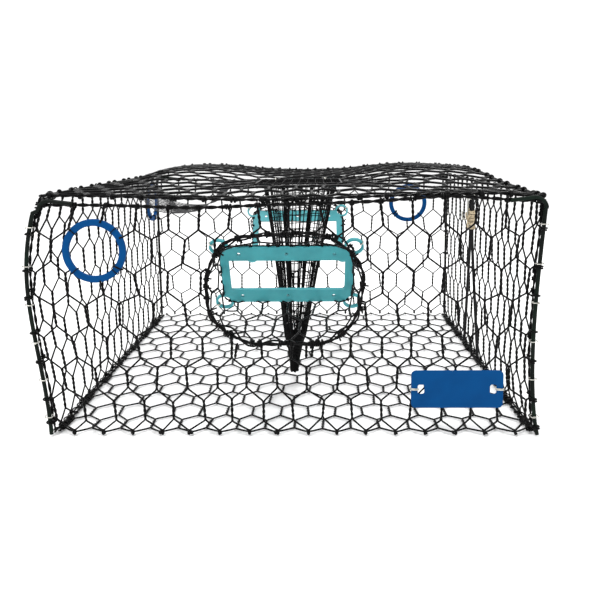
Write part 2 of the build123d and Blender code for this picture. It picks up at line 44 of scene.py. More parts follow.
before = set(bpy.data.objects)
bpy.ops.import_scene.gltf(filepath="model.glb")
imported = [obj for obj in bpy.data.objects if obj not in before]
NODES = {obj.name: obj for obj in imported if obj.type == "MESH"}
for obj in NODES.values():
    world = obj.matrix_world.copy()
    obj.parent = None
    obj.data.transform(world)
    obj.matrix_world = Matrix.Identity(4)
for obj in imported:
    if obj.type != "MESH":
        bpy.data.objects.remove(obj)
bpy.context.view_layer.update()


# ---- settings ----
class TrapWireSizes(bpy.types.PropertyGroup):
    strand: FloatProperty(name="Strand", description="Diameter of one coated netting wire",
                          default=0.0023, unit="LENGTH")
    column: FloatProperty(name="Cell width", description="Width of a hexagonal cell",
                          default=0.0363, unit="LENGTH")
    twist: FloatProperty(name="Twist", description="Length of the twisted side of a cell",
                         default=0.0265, unit="LENGTH")
    rise: FloatProperty(name="Rise", description="Height of a cell's sloping side",
                        default=0.0135, unit="LENGTH")
    turns: FloatProperty(name="Turns", description="Full turns in each twist", default=2.0)
    wobble: FloatProperty(name="Wobble", description="How far a twist strays from its place",
                          default=0.0013, unit="LENGTH")
    ripple: FloatProperty(name="Ripple", description="Depth of the waves in a wall",
                          default=0.0016, unit="LENGTH")
    lid_ripple: FloatProperty(name="Lid ripple", description="Depth of the waves in the lid",
                              default=0.0055, unit="LENGTH")
    bow: FloatProperty(name="Rod bow", description="How far the front left rod is bent outwards",
                       default=0.0185, unit="LENGTH")


class TrapColours(bpy.types.PropertyGroup):
    wire: FloatVectorProperty(name="Wire", description="Coating of the netting wire", subtype="COLOR",
                              size=3, default=(0.0016, 0.0016, 0.0018))
    rod: FloatVectorProperty(name="Rods", description="Coating of the corner rods", subtype="COLOR",
                             size=3, default=(0.0022, 0.004, 0.003))
    gate: FloatVectorProperty(name="Gates", description="Moulded plastic of the gates", subtype="COLOR",
                              size=3, default=(0.045, 0.315, 0.35))
    ring: FloatVectorProperty(name="Rings and tag", description="Moulded plastic of the rings and the tag",
                              subtype="COLOR", size=3, default=(0.0, 0.048, 0.168))
    clip: FloatVectorProperty(name="Clips", description="Galvanised hog rings", subtype="COLOR",
                              size=3, default=(0.62, 0.61, 0.56))
    jute: FloatVectorProperty(name="Jute", description="Binding of the tie-down", subtype="COLOR",
                              size=3, default=(0.68, 0.56, 0.38))
    ground: FloatVectorProperty(name="Ground", description="Studio floor", subtype="COLOR",
                                size=3, default=(0.93, 0.93, 0.93))


# ---- finishes ----
# Each finish: colour, or the name of its setting; worn colour, or how much lighter it is; share worn;
# roughness and its spread; coarse and fine scale; strength of the relief; slot and what else it sets.
FINISHES = {
    "wire_coating": ("wire", 0.006, 0.5, 0.20, 0.22, 70, 1400, 0.35,
                     {"slot": "black_wire", "specular": 0.07}),
    "rod_coating": ("rod", (0.003, 0.010, 0.006), 0.8, 0.28, 0.25, 45, 700, 0.5,
                    {"slot": "dark_rod", "specular": 0.09}),
    "net_twine": ("wire", 0.006, 0.6, 0.5, 0.3, 200, 2600, 0.7,
                  {"slot": "well_net", "specular": 0.06}),
    "gate_plastic": ("gate", (0.03, 0.225, 0.255), 0.7, 0.34, 0.18, 38, 1500, 0.28,
                     {"coat": 0.05, "specular": 0.35, "stripes": ("Z", 190, 0.35)}),
    "ring_plastic": ("ring", (0.0, 0.034, 0.125), 0.7, 0.42, 0.2, 30, 1100, 0.25, {"specular": 0.06}),
    "galvanised": ("clip", (0.30, 0.29, 0.26), 0.8, 0.26, 0.25, 260, 2200, 0.4,
                   {"slot": "steel_clip", "metallic": 0.9}),
    "jute_fibre": ("jute", (0.30, 0.22, 0.12), 0.8, 0.85, 0.1, 300, 3500, 1.0,
                   {"slot": "jute", "stripes": ("DIAGONAL", 400, 1.0)}),
    "fine_twine": ((0.035, 0.036, 0.038), (0.12, 0.12, 0.12), 0.7, 0.6, 0.3, 200, 2600, 0.5,
                   {"slot": "fine_net", "specular": 0.25}),
    "elastic_cover": ((0.003, 0.003, 0.0035), (0.02, 0.02, 0.022), 0.8, 0.55, 0.2, 400, 3000, 0.9,
                      {"slot": "black_elastic", "specular": 0.2, "stripes": ("DIAGONAL", 500, 1.0)}),
}
RELIEF_DEPTH = 0.0004
COAT_ROUGHNESS = 0.12


def mottle_group():
    """Shared effect: a fine uneven surface. Gives a colour, a roughness and a height."""
    group = bpy.data.node_groups.get("Mottle")
    if group:
        return group
    group = bpy.data.node_groups.new("Mottle", "ShaderNodeTree")
    number, tint = "NodeSocketFloat", "NodeSocketColor"
    for name, kind, default in (("Coarse Scale", number, 60.0), ("Fine Scale", number, 900.0),
                                ("Colour", tint, (0.1, 0.1, 0.1, 1)),
                                ("Worn Colour", tint, (0.2, 0.2, 0.2, 1)),
                                ("Worn Share", number, 0.3), ("Roughness", number, 0.4),
                                ("Roughness Spread", number, 0.2)):
        group.interface.new_socket(name=name, in_out="INPUT", socket_type=kind).default_value = default
    for name, kind in (("Colour", tint), ("Roughness", number), ("Height", number)):
        group.interface.new_socket(name=name, in_out="OUTPUT", socket_type=kind)
    link = group.links.new
    start, end, place, coarse, fine, worn, mix, spread, height = (group.nodes.new(kind) for kind in (
        "NodeGroupInput", "NodeGroupOutput", "ShaderNodeTexCoord", "ShaderNodeTexNoise", "ShaderNodeTexNoise",
        "ShaderNodeMapRange", "ShaderNodeMix", "ShaderNodeMath", "ShaderNodeMath"))
    for texture, scale, detail in ((coarse, "Coarse Scale", 4), (fine, "Fine Scale", 3)):
        texture.inputs["Detail"].default_value = detail
        link(place.outputs["Object"], texture.inputs["Vector"])
        link(start.outputs[scale], texture.inputs["Scale"])
    worn.inputs["From Min"].default_value = 0.42
    worn.inputs["From Max"].default_value = 0.72
    link(coarse.outputs["Fac"], worn.inputs["Value"])
    link(start.outputs["Worn Share"], worn.inputs["To Max"])
    mix.data_type = "RGBA"
    link(worn.outputs["Result"], mix.inputs["Factor"])
    link(start.outputs["Colour"], mix.inputs["A"])
    link(start.outputs["Worn Colour"], mix.inputs["B"])
    link(mix.outputs["Result"], end.inputs["Colour"])
    spread.operation = "MULTIPLY_ADD"
    link(fine.outputs["Fac"], spread.inputs[0])
    link(start.outputs["Roughness Spread"], spread.inputs[1])
    link(start.outputs["Roughness"], spread.inputs[2])
    link(spread.outputs["Value"], end.inputs["Roughness"])
    height.operation = "ADD"
    link(coarse.outputs["Fac"], height.inputs[0])
    link(fine.outputs["Fac"], height.inputs[1])
    link(height.outputs["Value"], end.inputs["Height"])
    return group


def finish_material(name):
    """The material of a finish, made the first time that a piece needs it."""
    material = bpy.data.materials.get(name)
    if material:
        return material
    colour, worn, share, rough, spread, coarse, fine, bump, more = FINISHES[name]
    if isinstance(colour, str):
        colour = tuple(getattr(bpy.context.scene.trap_colours, colour))
    if isinstance(worn, float):
        worn = tuple(min(1.0, c + worn) for c in colour)
    material = bpy.data.materials.new(name)
    material.use_nodes = True
    nodes, link = material.node_tree.nodes, material.node_tree.links.new
    shader = nodes["Principled BSDF"]
    mottle = nodes.new("ShaderNodeGroup")
    mottle.node_tree = mottle_group()
    for socket, value in (("Coarse Scale", coarse), ("Fine Scale", fine), ("Colour", (*colour, 1)),
                          ("Worn Colour", (*worn, 1)), ("Worn Share", share), ("Roughness", rough),
                          ("Roughness Spread", spread)):
        mottle.inputs[socket].default_value = value
    link(mottle.outputs["Colour"], shader.inputs["Base Color"])
    link(mottle.outputs["Roughness"], shader.inputs["Roughness"])
    height = mottle.outputs["Height"]
    if "stripes" in more:
        axis, scale, strength = more["stripes"]
        place, wave, add = (nodes.new(kind) for kind in ("ShaderNodeTexCoord", "ShaderNodeTexWave",
                                                         "ShaderNodeMath"))
        wave.bands_direction = axis
        for socket, value in (("Scale", scale), ("Distortion", 0.6), ("Detail", 1)):
            wave.inputs[socket].default_value = value
        link(place.outputs["Object"], wave.inputs["Vector"])
        add.operation = "MULTIPLY_ADD"
        add.inputs[1].default_value = strength
        link(wave.outputs["Fac"], add.inputs[0])
        link(height, add.inputs[2])
        height = add.outputs["Value"]
    relief = nodes.new("ShaderNodeBump")
    relief.inputs["Strength"].default_value = bump
    relief.inputs["Distance"].default_value = RELIEF_DEPTH
    link(height, relief.inputs["Height"])
    link(relief.outputs["Normal"], shader.inputs["Normal"])
    for socket, value in (("Metallic", more.get("metallic", 0.0)), ("Coat Weight", more.get("coat", 0.0)),
                          ("Coat Roughness", COAT_ROUGHNESS),
                          ("Specular IOR Level", more.get("specular", 0.5))):
        shader.inputs[socket].default_value = value
    return material


# ---- making pieces ----
def deselect():
    if bpy.context.object and bpy.context.object.mode != "OBJECT":
        bpy.ops.object.mode_set(mode="OBJECT")
    bpy.ops.object.select_all(action="DESELECT")


def settle(piece, body, slot, *replaced):
    """Puts a piece on its body, in place of the frame's nodes. The slot is not used."""
    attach(piece, body)
    if replaced:
        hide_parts(*replaced)


def wire_piece(name, groups, body, *replaced, finish="wire_coating", slot=None, sides=6):
    """Round wires along point lists, as one piece. groups holds (diameter, closed, point lists)."""
    parts = []
    for diameter, closed, paths in groups:
        curve = bpy.data.curves.new(name, "CURVE")
        curve.dimensions = "3D"
        curve.bevel_depth = diameter / 2
        curve.bevel_resolution = (sides - 4) // 2
        curve.use_fill_caps = not closed
        for points in paths:
            spline = curve.splines.new("POLY")
            spline.points.add(len(points) - 1)
            flat = np.ones((len(points), 4), np.float32)
            flat[:, :3] = np.asarray(points, np.float32)
            spline.points.foreach_set("co", flat.ravel())
            spline.use_cyclic_u = closed
            spline.use_smooth = True
        parts.append(bpy.data.objects.new(name, curve))
        bpy.context.scene.collection.objects.link(parts[-1])
    deselect()
    for part in parts:
        part.select_set(True)
    bpy.context.view_layer.objects.active = parts[0]
    bpy.ops.object.convert(target="MESH")
    if len(parts) > 1:
        bpy.ops.object.join()
    piece = bpy.context.view_layer.objects.active
    piece.name = piece.data.name = name
    bpy.ops.object.shade_smooth()
    piece.data.materials.clear()
    piece.data.materials.append(finish_material(finish))
    piece.select_set(False)
    settle(piece, body, slot or FINISHES[finish][-1]["slot"], *replaced)


def islands(node):
    """The separate solids of a CAD node, each as an array of its corners."""
    mesh = NODES[node].data
    co = np.zeros(len(mesh.vertices) * 3)
    mesh.vertices.foreach_get("co", co)
    co = co.reshape(-1, 3)
    keys = {}
    same = [keys.setdefault(tuple(np.round(c, 6)), len(keys)) for c in co]
    parent = list(range(len(keys)))

    def root(i):
        while parent[i] != i:
            parent[i] = parent[parent[i]]
            i = parent[i]
        return i

    for face in mesh.polygons:
        first = root(same[face.vertices[0]])
        for v in face.vertices[1:]:
            parent[root(same[v])] = first
    found = {}
    for i, c in enumerate(co):
        found.setdefault(root(same[i]), []).append(c)
    return sorted((np.array(v) for v in found.values()), key=lambda v: tuple(np.round(v.mean(0), 4)))


def soft_square(angle):
    """A point on a circle that is drawn out towards a square."""
    c, s = math.cos(angle), math.sin(angle)
    soft = (abs(c) ** 3 + abs(s) ** 3) ** (-1 / 3)
    return c * soft, s * soft


def any_phase(rng):
    """A random start for a wave."""
    return rng.uniform(0, 6.28)


def hog_ring_path(corners, wire, rng, turns=1):
    """A bent ring that fills the place of one clip: its ends lie side by side."""
    axes = np.linalg.svd(corners - corners.mean(0), full_matrices=False)[2]
    along = (corners - corners.mean(0)) @ axes.T
    half = (along.max(0) - along.min(0)) / 2
    centre = corners.mean(0) + ((along.max(0) + along.min(0)) / 2) @ axes
    long_half, short_half = half[0] - wire / 2, half[1] - wire / 2
    start = rng.uniform(0, 2 * math.pi)
    points = []
    steps = 20 * turns + 3
    for i in range(steps + 1):
        turn = start + (2 * math.pi * turns + 0.5) * i / steps
        c, s = soft_square(turn)
        lean = (i / steps - 0.5) * wire * 1.1 * turns
        points.append(centre + axes[0] * (c * long_half) + axes[1] * (s * short_half) + axes[2] * lean)
    return points


# ---- hexagon netting ----
TWIST_OFF, ROPE_OFF = 0.36, 0.44  # how far twisted wires lie from their middle line, in strands
TOUCH = 0.2  # the turn of a wire end that only touches its rim


class Rim:
    """A wire, rod or band that the netting ends on. away gives the distance from its centre line."""

    def __init__(self, away, half_width, half_depth=None, offset=0.0, every=1, stub=0.0):
        self.away = away
        self.half_width = half_width
        self.half_depth = half_width if half_depth is None else half_depth
        self.offset = offset
        self.every = every
        self.stub = stub

    def reach(self, strand):
        """How near the netting's own surface comes to the rim's centre line."""
        radius = self.half_width + strand / 2
        share = min(0.999, abs(self.offset) / (self.half_depth + strand / 2))
        return radius * math.sqrt(1 - share ** 2)

    def wrap(self, u, v, strand, turns, side, rng):
        """The wire's end, wound round the rim from the point where it arrives."""
        step = 1e-5
        slope = np.array([float(self.away(u + step, v) - self.away(u - step, v)),
                          float(self.away(u, v + step) - self.away(u, v - step))]) / (2 * step)
        slope /= max(np.linalg.norm(slope), 1e-9)
        wide = self.half_width + strand / 2
        deep = self.half_depth + strand / 2
        start = math.asin(max(-0.999, min(0.999, -self.offset / deep)))
        centre = np.array([u, v]) - slope * wide * math.cos(start)
        along = np.array([-slope[1], slope[0]])
        points = []
        count = max(4, int(turns * 10))
        for i in range(1, count + 1):
            angle = start + side * 2 * math.pi * turns * i / count
            at = centre + slope * wide * math.cos(angle) + along * side * strand * 1.05 * turns * i / count
            points.append((at[0], at[1], self.offset + deep * math.sin(angle)))
        if self.stub:
            end = np.array(points[-1])
            out = end - np.array(points[-2])
            out /= max(np.linalg.norm(out), 1e-9)
            points.append(tuple(end + out * self.stub * rng.uniform(0.3, 1.0)))
        return points


def box_away(centre_u, centre_v, width, height, corner):
    """Distance outside a rounded opening."""
    def away(u, v):
        du = np.abs(u - centre_u) - width / 2 + corner
        dv = np.abs(v - centre_v) - height / 2 + corner
        return np.hypot(np.maximum(du, 0), np.maximum(dv, 0)) + np.minimum(np.maximum(du, dv), 0) - corner
    return away


def hex_wires(rng, first_v, rows, stretch, rims, place, middle_u=0.0, columns=9, low_tips=False,
              high_tips=False, squeeze=1.0, around=0):
    """Every wire of a hexagonal netting, as placed point lists. around counts a tube's wires."""
    size = bpy.context.scene.trap_sizes
    strand = size.strand
    column = size.column * squeeze
    twist = size.twist * stretch
    pitch = (size.twist + size.rise) * stretch
    helix = strand * TWIST_OFF
    half_count = columns + 2
    stray = {}
    for row in range(-1, rows + 1):
        for k in range(-2 * half_count - 2, 2 * half_count + 3):
            stray[row, k] = [rng.gauss(0, size.wobble) for _ in range(4)]
        if around:
            stray[row, -around // 2 - 1] = stray[row, around // 2 - 1]
    found = []
    turn_steps = max(6, int(round(size.turns * 6)))
    for i in range(-around // 2, around // 2) if around else range(-2 * half_count, 2 * half_count):
        u, v, w = [], [], []
        for row in range(-1, rows + 1):
            odd = row % 2
            k = 2 * ((i - 1) // 2) + 1 if odd else 2 * (i // 2)
            left = (i % 2 == 1) if odd else (i % 2 == 0)
            centre_u = middle_u + k * column / 2
            low_v = first_v + row * pitch - twist / 2
            a, b, c, d = stray[row, k]
            tip = (row == -1 and low_tips) or (row == rows and high_tips)
            phase = math.pi if left else 0.0
            sides = -1 if left else 1
            if tip and row == -1:
                u, v, w = [centre_u + c + sides * helix], [low_v + twist], [0.0]
            elif tip:
                u, v, w = ease(u, v, w, centre_u + c + sides * helix, low_v, 0.0)
            else:
                t = np.linspace(0, 1, turn_steps + 1)
                angle = phase + 2 * math.pi * size.turns * t
                us = centre_u + a * (1 - t) + b * t + helix * np.cos(angle)
                vs = low_v + c + (twist + d - c) * t
                ws = helix * np.sin(angle)
                if u:
                    u, v, w = ease(u, v, w, us[0], vs[0], ws[0])
                    us, vs, ws = us[1:], vs[1:], ws[1:]
                u += list(us)
                v += list(vs)
                w += list(ws)
        found += cut_to_rims(np.array(u), np.array(v), np.array(w), rims, strand, place, rng)
    loops = []
    for at_tip, row, side in ((low_tips, -1, -1), (high_tips, rows, 1)):
        if not at_tip:
            continue
        odd = row % 2
        for k in range(-2 * half_count, 2 * half_count + 1):
            if (k % 2 == 1) != bool(odd):
                continue
            centre_u = middle_u + k * column / 2 + stray[row, k][2]
            tip_v = first_v + row * pitch - side * twist / 2
            if all(rim.away(centre_u, tip_v) > rim.reach(strand) for rim in rims):
                loops.append(place(*tip_loop_points(centre_u, tip_v, side, helix)))
    return found + loops


def ease(u, v, w, end_u, end_v, end_w):
    """Adds a sloping side: the wire leaves one twist and runs into the next in soft bends."""
    u0, v0, w0 = u[-1], v[-1], w[-1]
    for t, f in ((0.08, 0.05), (0.3, 0.29), (0.7, 0.71), (0.92, 0.95), (1.0, 1.0)):
        u.append(u0 + (end_u - u0) * f)
        v.append(v0 + (end_v - v0) * t)
        w.append(w0 + (end_w - w0) * t)
    return u, v, w


def tip_loop_points(centre_u, tip_v, side, helix, radius=0.0022):
    """The small folded loop below a pair of wires that ends in a point."""
    turns = np.linspace(-0.75, 0.75, 13) * math.pi
    u = centre_u + 0.45 * radius * np.sin(turns)
    v = tip_v + side * radius * (1.1 + 1.2 * np.cos(turns))
    w = helix * np.sin(turns / 2) * 1.6
    u = np.concatenate(([centre_u - helix], u[::-1], [centre_u + helix]))
    v = np.concatenate(([tip_v - side * 0.001], v, [tip_v - side * 0.001]))
    w = np.concatenate(([0.0], w, [0.0]))
    return u, v, w


def cut_to_rims(u, v, w, rims, strand, place, rng):
    """Keeps the stretches of a wire that lie inside its rims, and winds their ends round them."""
    inside = np.all([rim.away(u, v) - rim.reach(strand) > 0 for rim in rims], axis=0)
    kept = []
    start = None
    for i in range(len(u) + 1):
        here = i < len(u) and inside[i]
        if here and start is None:
            start = i
        if not here and start is not None:
            run = [(u[j], v[j], w[j]) for j in range(start, i)]
            head = end_at_rim((u[start], v[start], w[start]), (u[start - 1], v[start - 1], w[start - 1]),
                              rims, strand, rng) if start > 0 else []
            tail = end_at_rim((u[i - 1], v[i - 1], w[i - 1]), (u[i], v[i], w[i]),
                              rims, strand, rng) if i < len(u) else []
            whole = head[::-1] + run + tail
            long = sum(math.dist(a, b) for a, b in zip(run, run[1:]))
            if len(whole) > 3 and (long > 0.004 or (head and tail)):
                kept.append(place(*np.array(whole).T))
            start = None
    return kept


def end_at_rim(inner, outer, rims, strand, rng):
    """Finds where a wire meets its rim, and winds it round: fully, or on a band only now and then."""
    low, high = 0.0, 1.0
    a, b = np.array(inner), np.array(outer)
    for _ in range(12):
        mid = (low + high) / 2
        p = a + (b - a) * mid
        if all(float(rim.away(p[0], p[1])) > rim.reach(strand) for rim in rims):
            low = mid
        else:
            high = mid
    p = a + (b - a) * low
    near = min(rims, key=lambda rim: float(rim.away(p[0], p[1])) - rim.reach(strand))
    side = rng.choice((-1, 1))
    draw = rng.random()
    turns = rng.uniform(1.05, 1.7)
    if draw > 1.0 / near.every:
        turns = TOUCH
    return [(p[0], p[1], 0.0)] + near.wrap(p[0], p[1], strand, turns, side, rng)


def waves(seed, depth, span_u, span_v, modes=4):
    """A gentle uneven surface, still along the edges."""
    rng = random.Random(seed)
    terms = [(rng.uniform(1.2, 4.2), rng.uniform(1.0, 3.4), any_phase(rng), any_phase(rng),
              rng.uniform(0.5, 1)) for _ in range(modes)]

    def height(u, v):
        s = (u - span_u[0]) / (span_u[1] - span_u[0])
        t = (v - span_v[0]) / (span_v[1] - span_v[0])
        edge = np.clip(np.minimum(s, 1 - s) * 6, 0, 1) * np.clip(np.minimum(t, 1 - t) * 5, 0, 1)
        total = sum(k * np.sin(math.pi * a * s + p) * np.cos(math.pi * b * t + q) for a, b, p, q, k in terms)
        return depth * edge * total / 1.6
    return height


def evenly(path, count):
    """Points spread evenly along a path, and how far along it each lies. count is given its length."""
    at = np.concatenate(([0], np.cumsum(np.linalg.norm(np.diff(path, axis=0), axis=1))))
    t = np.linspace(0, at[-1], count(at[-1]) + 1)
    return np.stack([np.interp(t, at, path[:, k]) for k in range(path.shape[1])], 1), t


def edge_rope(path, strand, pitch, closed=False, jitter=0.0, seed=1):
    """Two wires twisted together along a path."""
    rng = random.Random(seed)
    pts = np.array(path, float)
    if closed:
        pts = np.vstack([pts, pts[:1]])
    line, t = evenly(pts, lambda long: int(long / pitch * 8))
    long = t[-1]
    turns = max(1, round(long / pitch))
    sway = np.zeros(len(t))
    if jitter:
        bumps = [(rng.uniform(3, 11), any_phase(rng)) for _ in range(5)]
        sway = sum(np.sin(2 * math.pi * round(f) * t / long + p) for f, p in bumps) * jitter / 2.5
    tangent = np.gradient(line, axis=0)
    if closed:
        tangent[0] = tangent[-1] = line[1] - line[-2]
    tangent /= np.linalg.norm(tangent, axis=1)[:, None]
    spread = line - line.mean(0)
    axes = np.linalg.svd(spread, full_matrices=False)[2]
    normal = axes[2]
    if abs(normal @ tangent[0]) > 0.5 or np.linalg.norm(spread @ axes[1]) < 1e-4:
        normal = np.array([0.0, 0.0, 1.0]) if abs(tangent[0][2]) < 0.8 else np.array([0.0, 1.0, 0.0])
    across = np.cross(tangent, normal)
    across /= np.linalg.norm(across, axis=1)[:, None]
    up = np.cross(across, tangent)
    line = line + across * sway[:, None]
    found = []
    for phase in (0.0, math.pi):
        angle = 2 * math.pi * turns * t / long + phase
        wire = line + (across * np.cos(angle)[:, None] + up * np.sin(angle)[:, None]) * strand * ROPE_OFF
        found.append(wire[:-1] if closed else wire)
    return found


# ---- the box ----
def span(node):
    """The lowest and highest corners of a frame node at rest."""
    low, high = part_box(node)
    return np.array(low), np.array(high)


def middle(node):
    low, high = span(node)
    return (low + high) / 2


EDGE_R = 0.0015  # the frame's edge wires
ROD_R = 0.0035  # the frame's straight corner rods
BENT_ROD = 0.0050  # diameter of the bent rods
ROD_RIM, HOOP_RIM = 0.0029, 0.0020  # half widths that netting wires wind round, at rods and mouth hoops
LOWEST = 0.0013  # no netting wire's centre line is nearer to the ground
MOUTH_CORNER = 0.062  # corner radius of a mouth
RING_BORE = 0.06030  # clear opening of an escape ring
GATE_OUTLINE = (0.1745, 0.0955, 0.008)  # width, height and corner radius
GATE_TILT = math.radians(30)
GATE_DEPTH = 0.086  # from the wall to the middle of a gate
BEHIND_GATE = 0.0036  # from a gate to the funnel's end
FUNNEL_DEEP = 0.094  # length of a funnel along its netting
END_RAIL, SIDE_EDGE, LID_EDGE = 0.2882, 0.2919, 0.2962  # half lengths
RAIL_PITCH = 0.03  # one turn of the twisted wires along an edge
WALL_X, WALL_Y = -middle("left_mesh")[0], -middle("front_mesh")[1]
ROD_X = -(span("front_corner_rod_left")[0][0] + ROD_R)
ROD_OUT = ROD_X - WALL_X
PIVOT_Z = middle("front_bottom_wire")[2]
FRONT_TOP, SIDE_TOP = middle("front_top_wire")[2], middle("left_top_wire")[2]
LID_Z = middle("lid_mesh")[2]
FLOOR_X = span("floor_mesh")[1][0] - EDGE_R


def smooth(t):
    """Rises softly from 0 to 1."""
    t = np.clip(t, 0, 1)
    return t * t * (3 - 2 * t)


def bell(x, centre, width):
    """A hump of height 1."""
    return np.exp(-((x - centre) / width) ** 2)


def top_drop(x):
    """How far the top edge of the front and back walls hangs at its left, and stands up at its right."""
    return 0.0045 * bell(x, -0.11, 0.085) - 0.0065 * bell(x, 0.185, 0.07)


def rod_bow(z, power):
    """How far the front left rod is bent at a height. power moves the bend up or down."""
    share = np.clip(np.asarray(z, float) / 0.3, 0, 1)
    return bpy.context.scene.trap_sizes.bow * np.sin(math.pi * share ** power)


def left_bow(z):
    """How far the front left rod leans outwards at a height."""
    return rod_bow(z, 1.6)


def right_bow(z):
    """How far the front right rod leans inwards at a height."""
    return 0.55 * rod_bow(z, 0.7)


def follow_rods(x, z):
    """Carries the front wall's netting and rings along with its bent rods."""
    return x - left_bow(z) * smooth((-x - 0.12) / 0.17) - right_bow(z) * smooth((x - 0.20) / 0.09)


def front_place(seed, bent):
    """Places the netting of a front or back wall: along, up and out of the wall."""
    height = waves(seed, bpy.context.scene.trap_sizes.ripple, (-ROD_X, ROD_X), (0, FRONT_TOP))

    def place(x, z, out):
        drop = top_drop(x) * np.clip((z - 0.15) / (FRONT_TOP - 0.15), 0, 1) ** 1.5
        along = follow_rods(x, z) if bent else x
        return np.stack([along, -WALL_Y - out - height(x, z), np.maximum(z - drop, LOWEST)], 1)
    return place


def corner_rods(name, flip):
    """The bent rods of one end wall, each with its top end turned inwards."""
    corner = 0.014
    for side_name, side in (("left", -1), ("right", 1)):
        node = f"{name}_corner_rod_{side_name}"
        low, high = span(node)
        top = high[2] - ROD_R
        z = np.linspace(low[2], top - corner, 40)
        lean = np.zeros(40)
        if not flip:
            lean = left_bow(z) if side < 0 else -right_bow(z)
        path = [(side * (ROD_X + d), h) for d, h in zip(lean, z)]
        turn = np.linspace(0, math.pi / 2, 9)[1:]
        path += [(side * (ROD_X - corner * (1 - math.cos(t))), top - corner + corner * math.sin(t))
                 for t in turn]
        long = high[0] - low[0] - 2 * ROD_R
        path += [(side * (ROD_X - corner - (long - corner) * s), top - 0.0035 * s) for s in (0.35, 0.7, 1.0)]
        y = ROD_X if flip else -ROD_X
        wire_piece(f"{node}_bent", [(BENT_ROD, False, [[(x, y, h) for x, h in path]])],
                   f"{name}_wall", node, finish="rod_coating", sides=12)


def mirrored(paths):
    """The same paths at the back of the trap."""
    return [np.asarray(p) * np.array([1.0, -1.0, 1.0]) for p in paths]


def ring_rim(centre_u, centre_v, carry=lambda u, v: u):
    """The band of an escape ring in its wall's own plane. carry says where bent rods take the netting."""
    low, high = span("front_escape_ring")
    outer = (high[0] - low[0]) / 2
    band = outer - RING_BORE / 2
    return Rim(lambda u, v: np.hypot(carry(u, v) - centre_u, v - centre_v) - (outer - band / 2),
               band / 2 + 0.0004, (high[1] - low[1]) / 2 + 0.0004, every=4)


def wall_rows(top):
    """Where a wall's first row lies, how many rows there are, and how far they stretch."""
    sizes = bpy.context.scene.trap_sizes
    pitch = sizes.twist + sizes.rise
    low = PIVOT_Z + 0.0043
    rows = int(round((top - 0.002 - low) / pitch))
    stretch = (top - 0.002 - low) / (rows * pitch)
    return low + (pitch - sizes.twist / 2) * stretch, rows, stretch


def mouth_of(name):
    """The middle of a wall's mouth, and its size between the middles of its wires."""
    low, high = span(f"{name}_mouth_ring")
    return (low + high) / 2, high - low - 2 * EDGE_R


def end_wall_netting(name, flip, seed):
    """A front or back wall: its netting and the twisted rail along its top."""
    rng = random.Random(seed)
    strand = bpy.context.scene.trap_sizes.strand
    mouth, size = mouth_of(name)
    ring = middle(f"{name}_escape_ring")
    rims = [Rim(lambda u, v: u + ROD_X, ROD_RIM, offset=ROD_OUT),
            Rim(lambda u, v: ROD_X - u, ROD_RIM, offset=ROD_OUT),
            Rim(lambda u, v: FRONT_TOP - v, EDGE_R),
            Rim(box_away(mouth[0], mouth[2], size[0], size[2], MOUTH_CORNER), HOOP_RIM, stub=0.006),
            ring_rim(ring[0], ring[2]) if flip else ring_rim(ring[0], ring[2], follow_rods)]
    place = front_place(seed, not flip)
    wires = hex_wires(rng, *wall_rows(FRONT_TOP), rims, place, low_tips=True)
    top = place(np.linspace(-END_RAIL, END_RAIL, 60), np.full(60, FRONT_TOP), np.zeros(60))
    if flip:
        wires, (top,) = mirrored(wires), mirrored([top])
    wire_piece(f"{name}_netting", [(strand, False, wires)], f"{name}_wall", f"{name}_mesh",
               f"{name}_bottom_wire")
    rail = strand * 1.15
    wire_piece(f"{name}_top_rail", [(rail, False, edge_rope(top, rail, RAIL_PITCH, seed=seed))],
               f"{name}_wall", f"{name}_top_wire")


def outline_points(width, height, corner, count):
    """A rounded outline, evenly spaced from the middle of its top, and its length."""
    a, b = width / 2 - corner, height / 2 - corner
    walk = [(0.0, height / 2)]
    for sx, sy, first in ((1, 1, 0.5), (1, -1, 0), (-1, -1, -0.5), (-1, 1, 1)):
        walk += [(sx * a + corner * math.cos(t), sy * b + corner * math.sin(t))
                 for t in np.linspace(first * math.pi, (first - 0.5) * math.pi, 16)]
    line, t = evenly(np.array(walk + walk[:1]), lambda long: count)
    return line, t[-1]


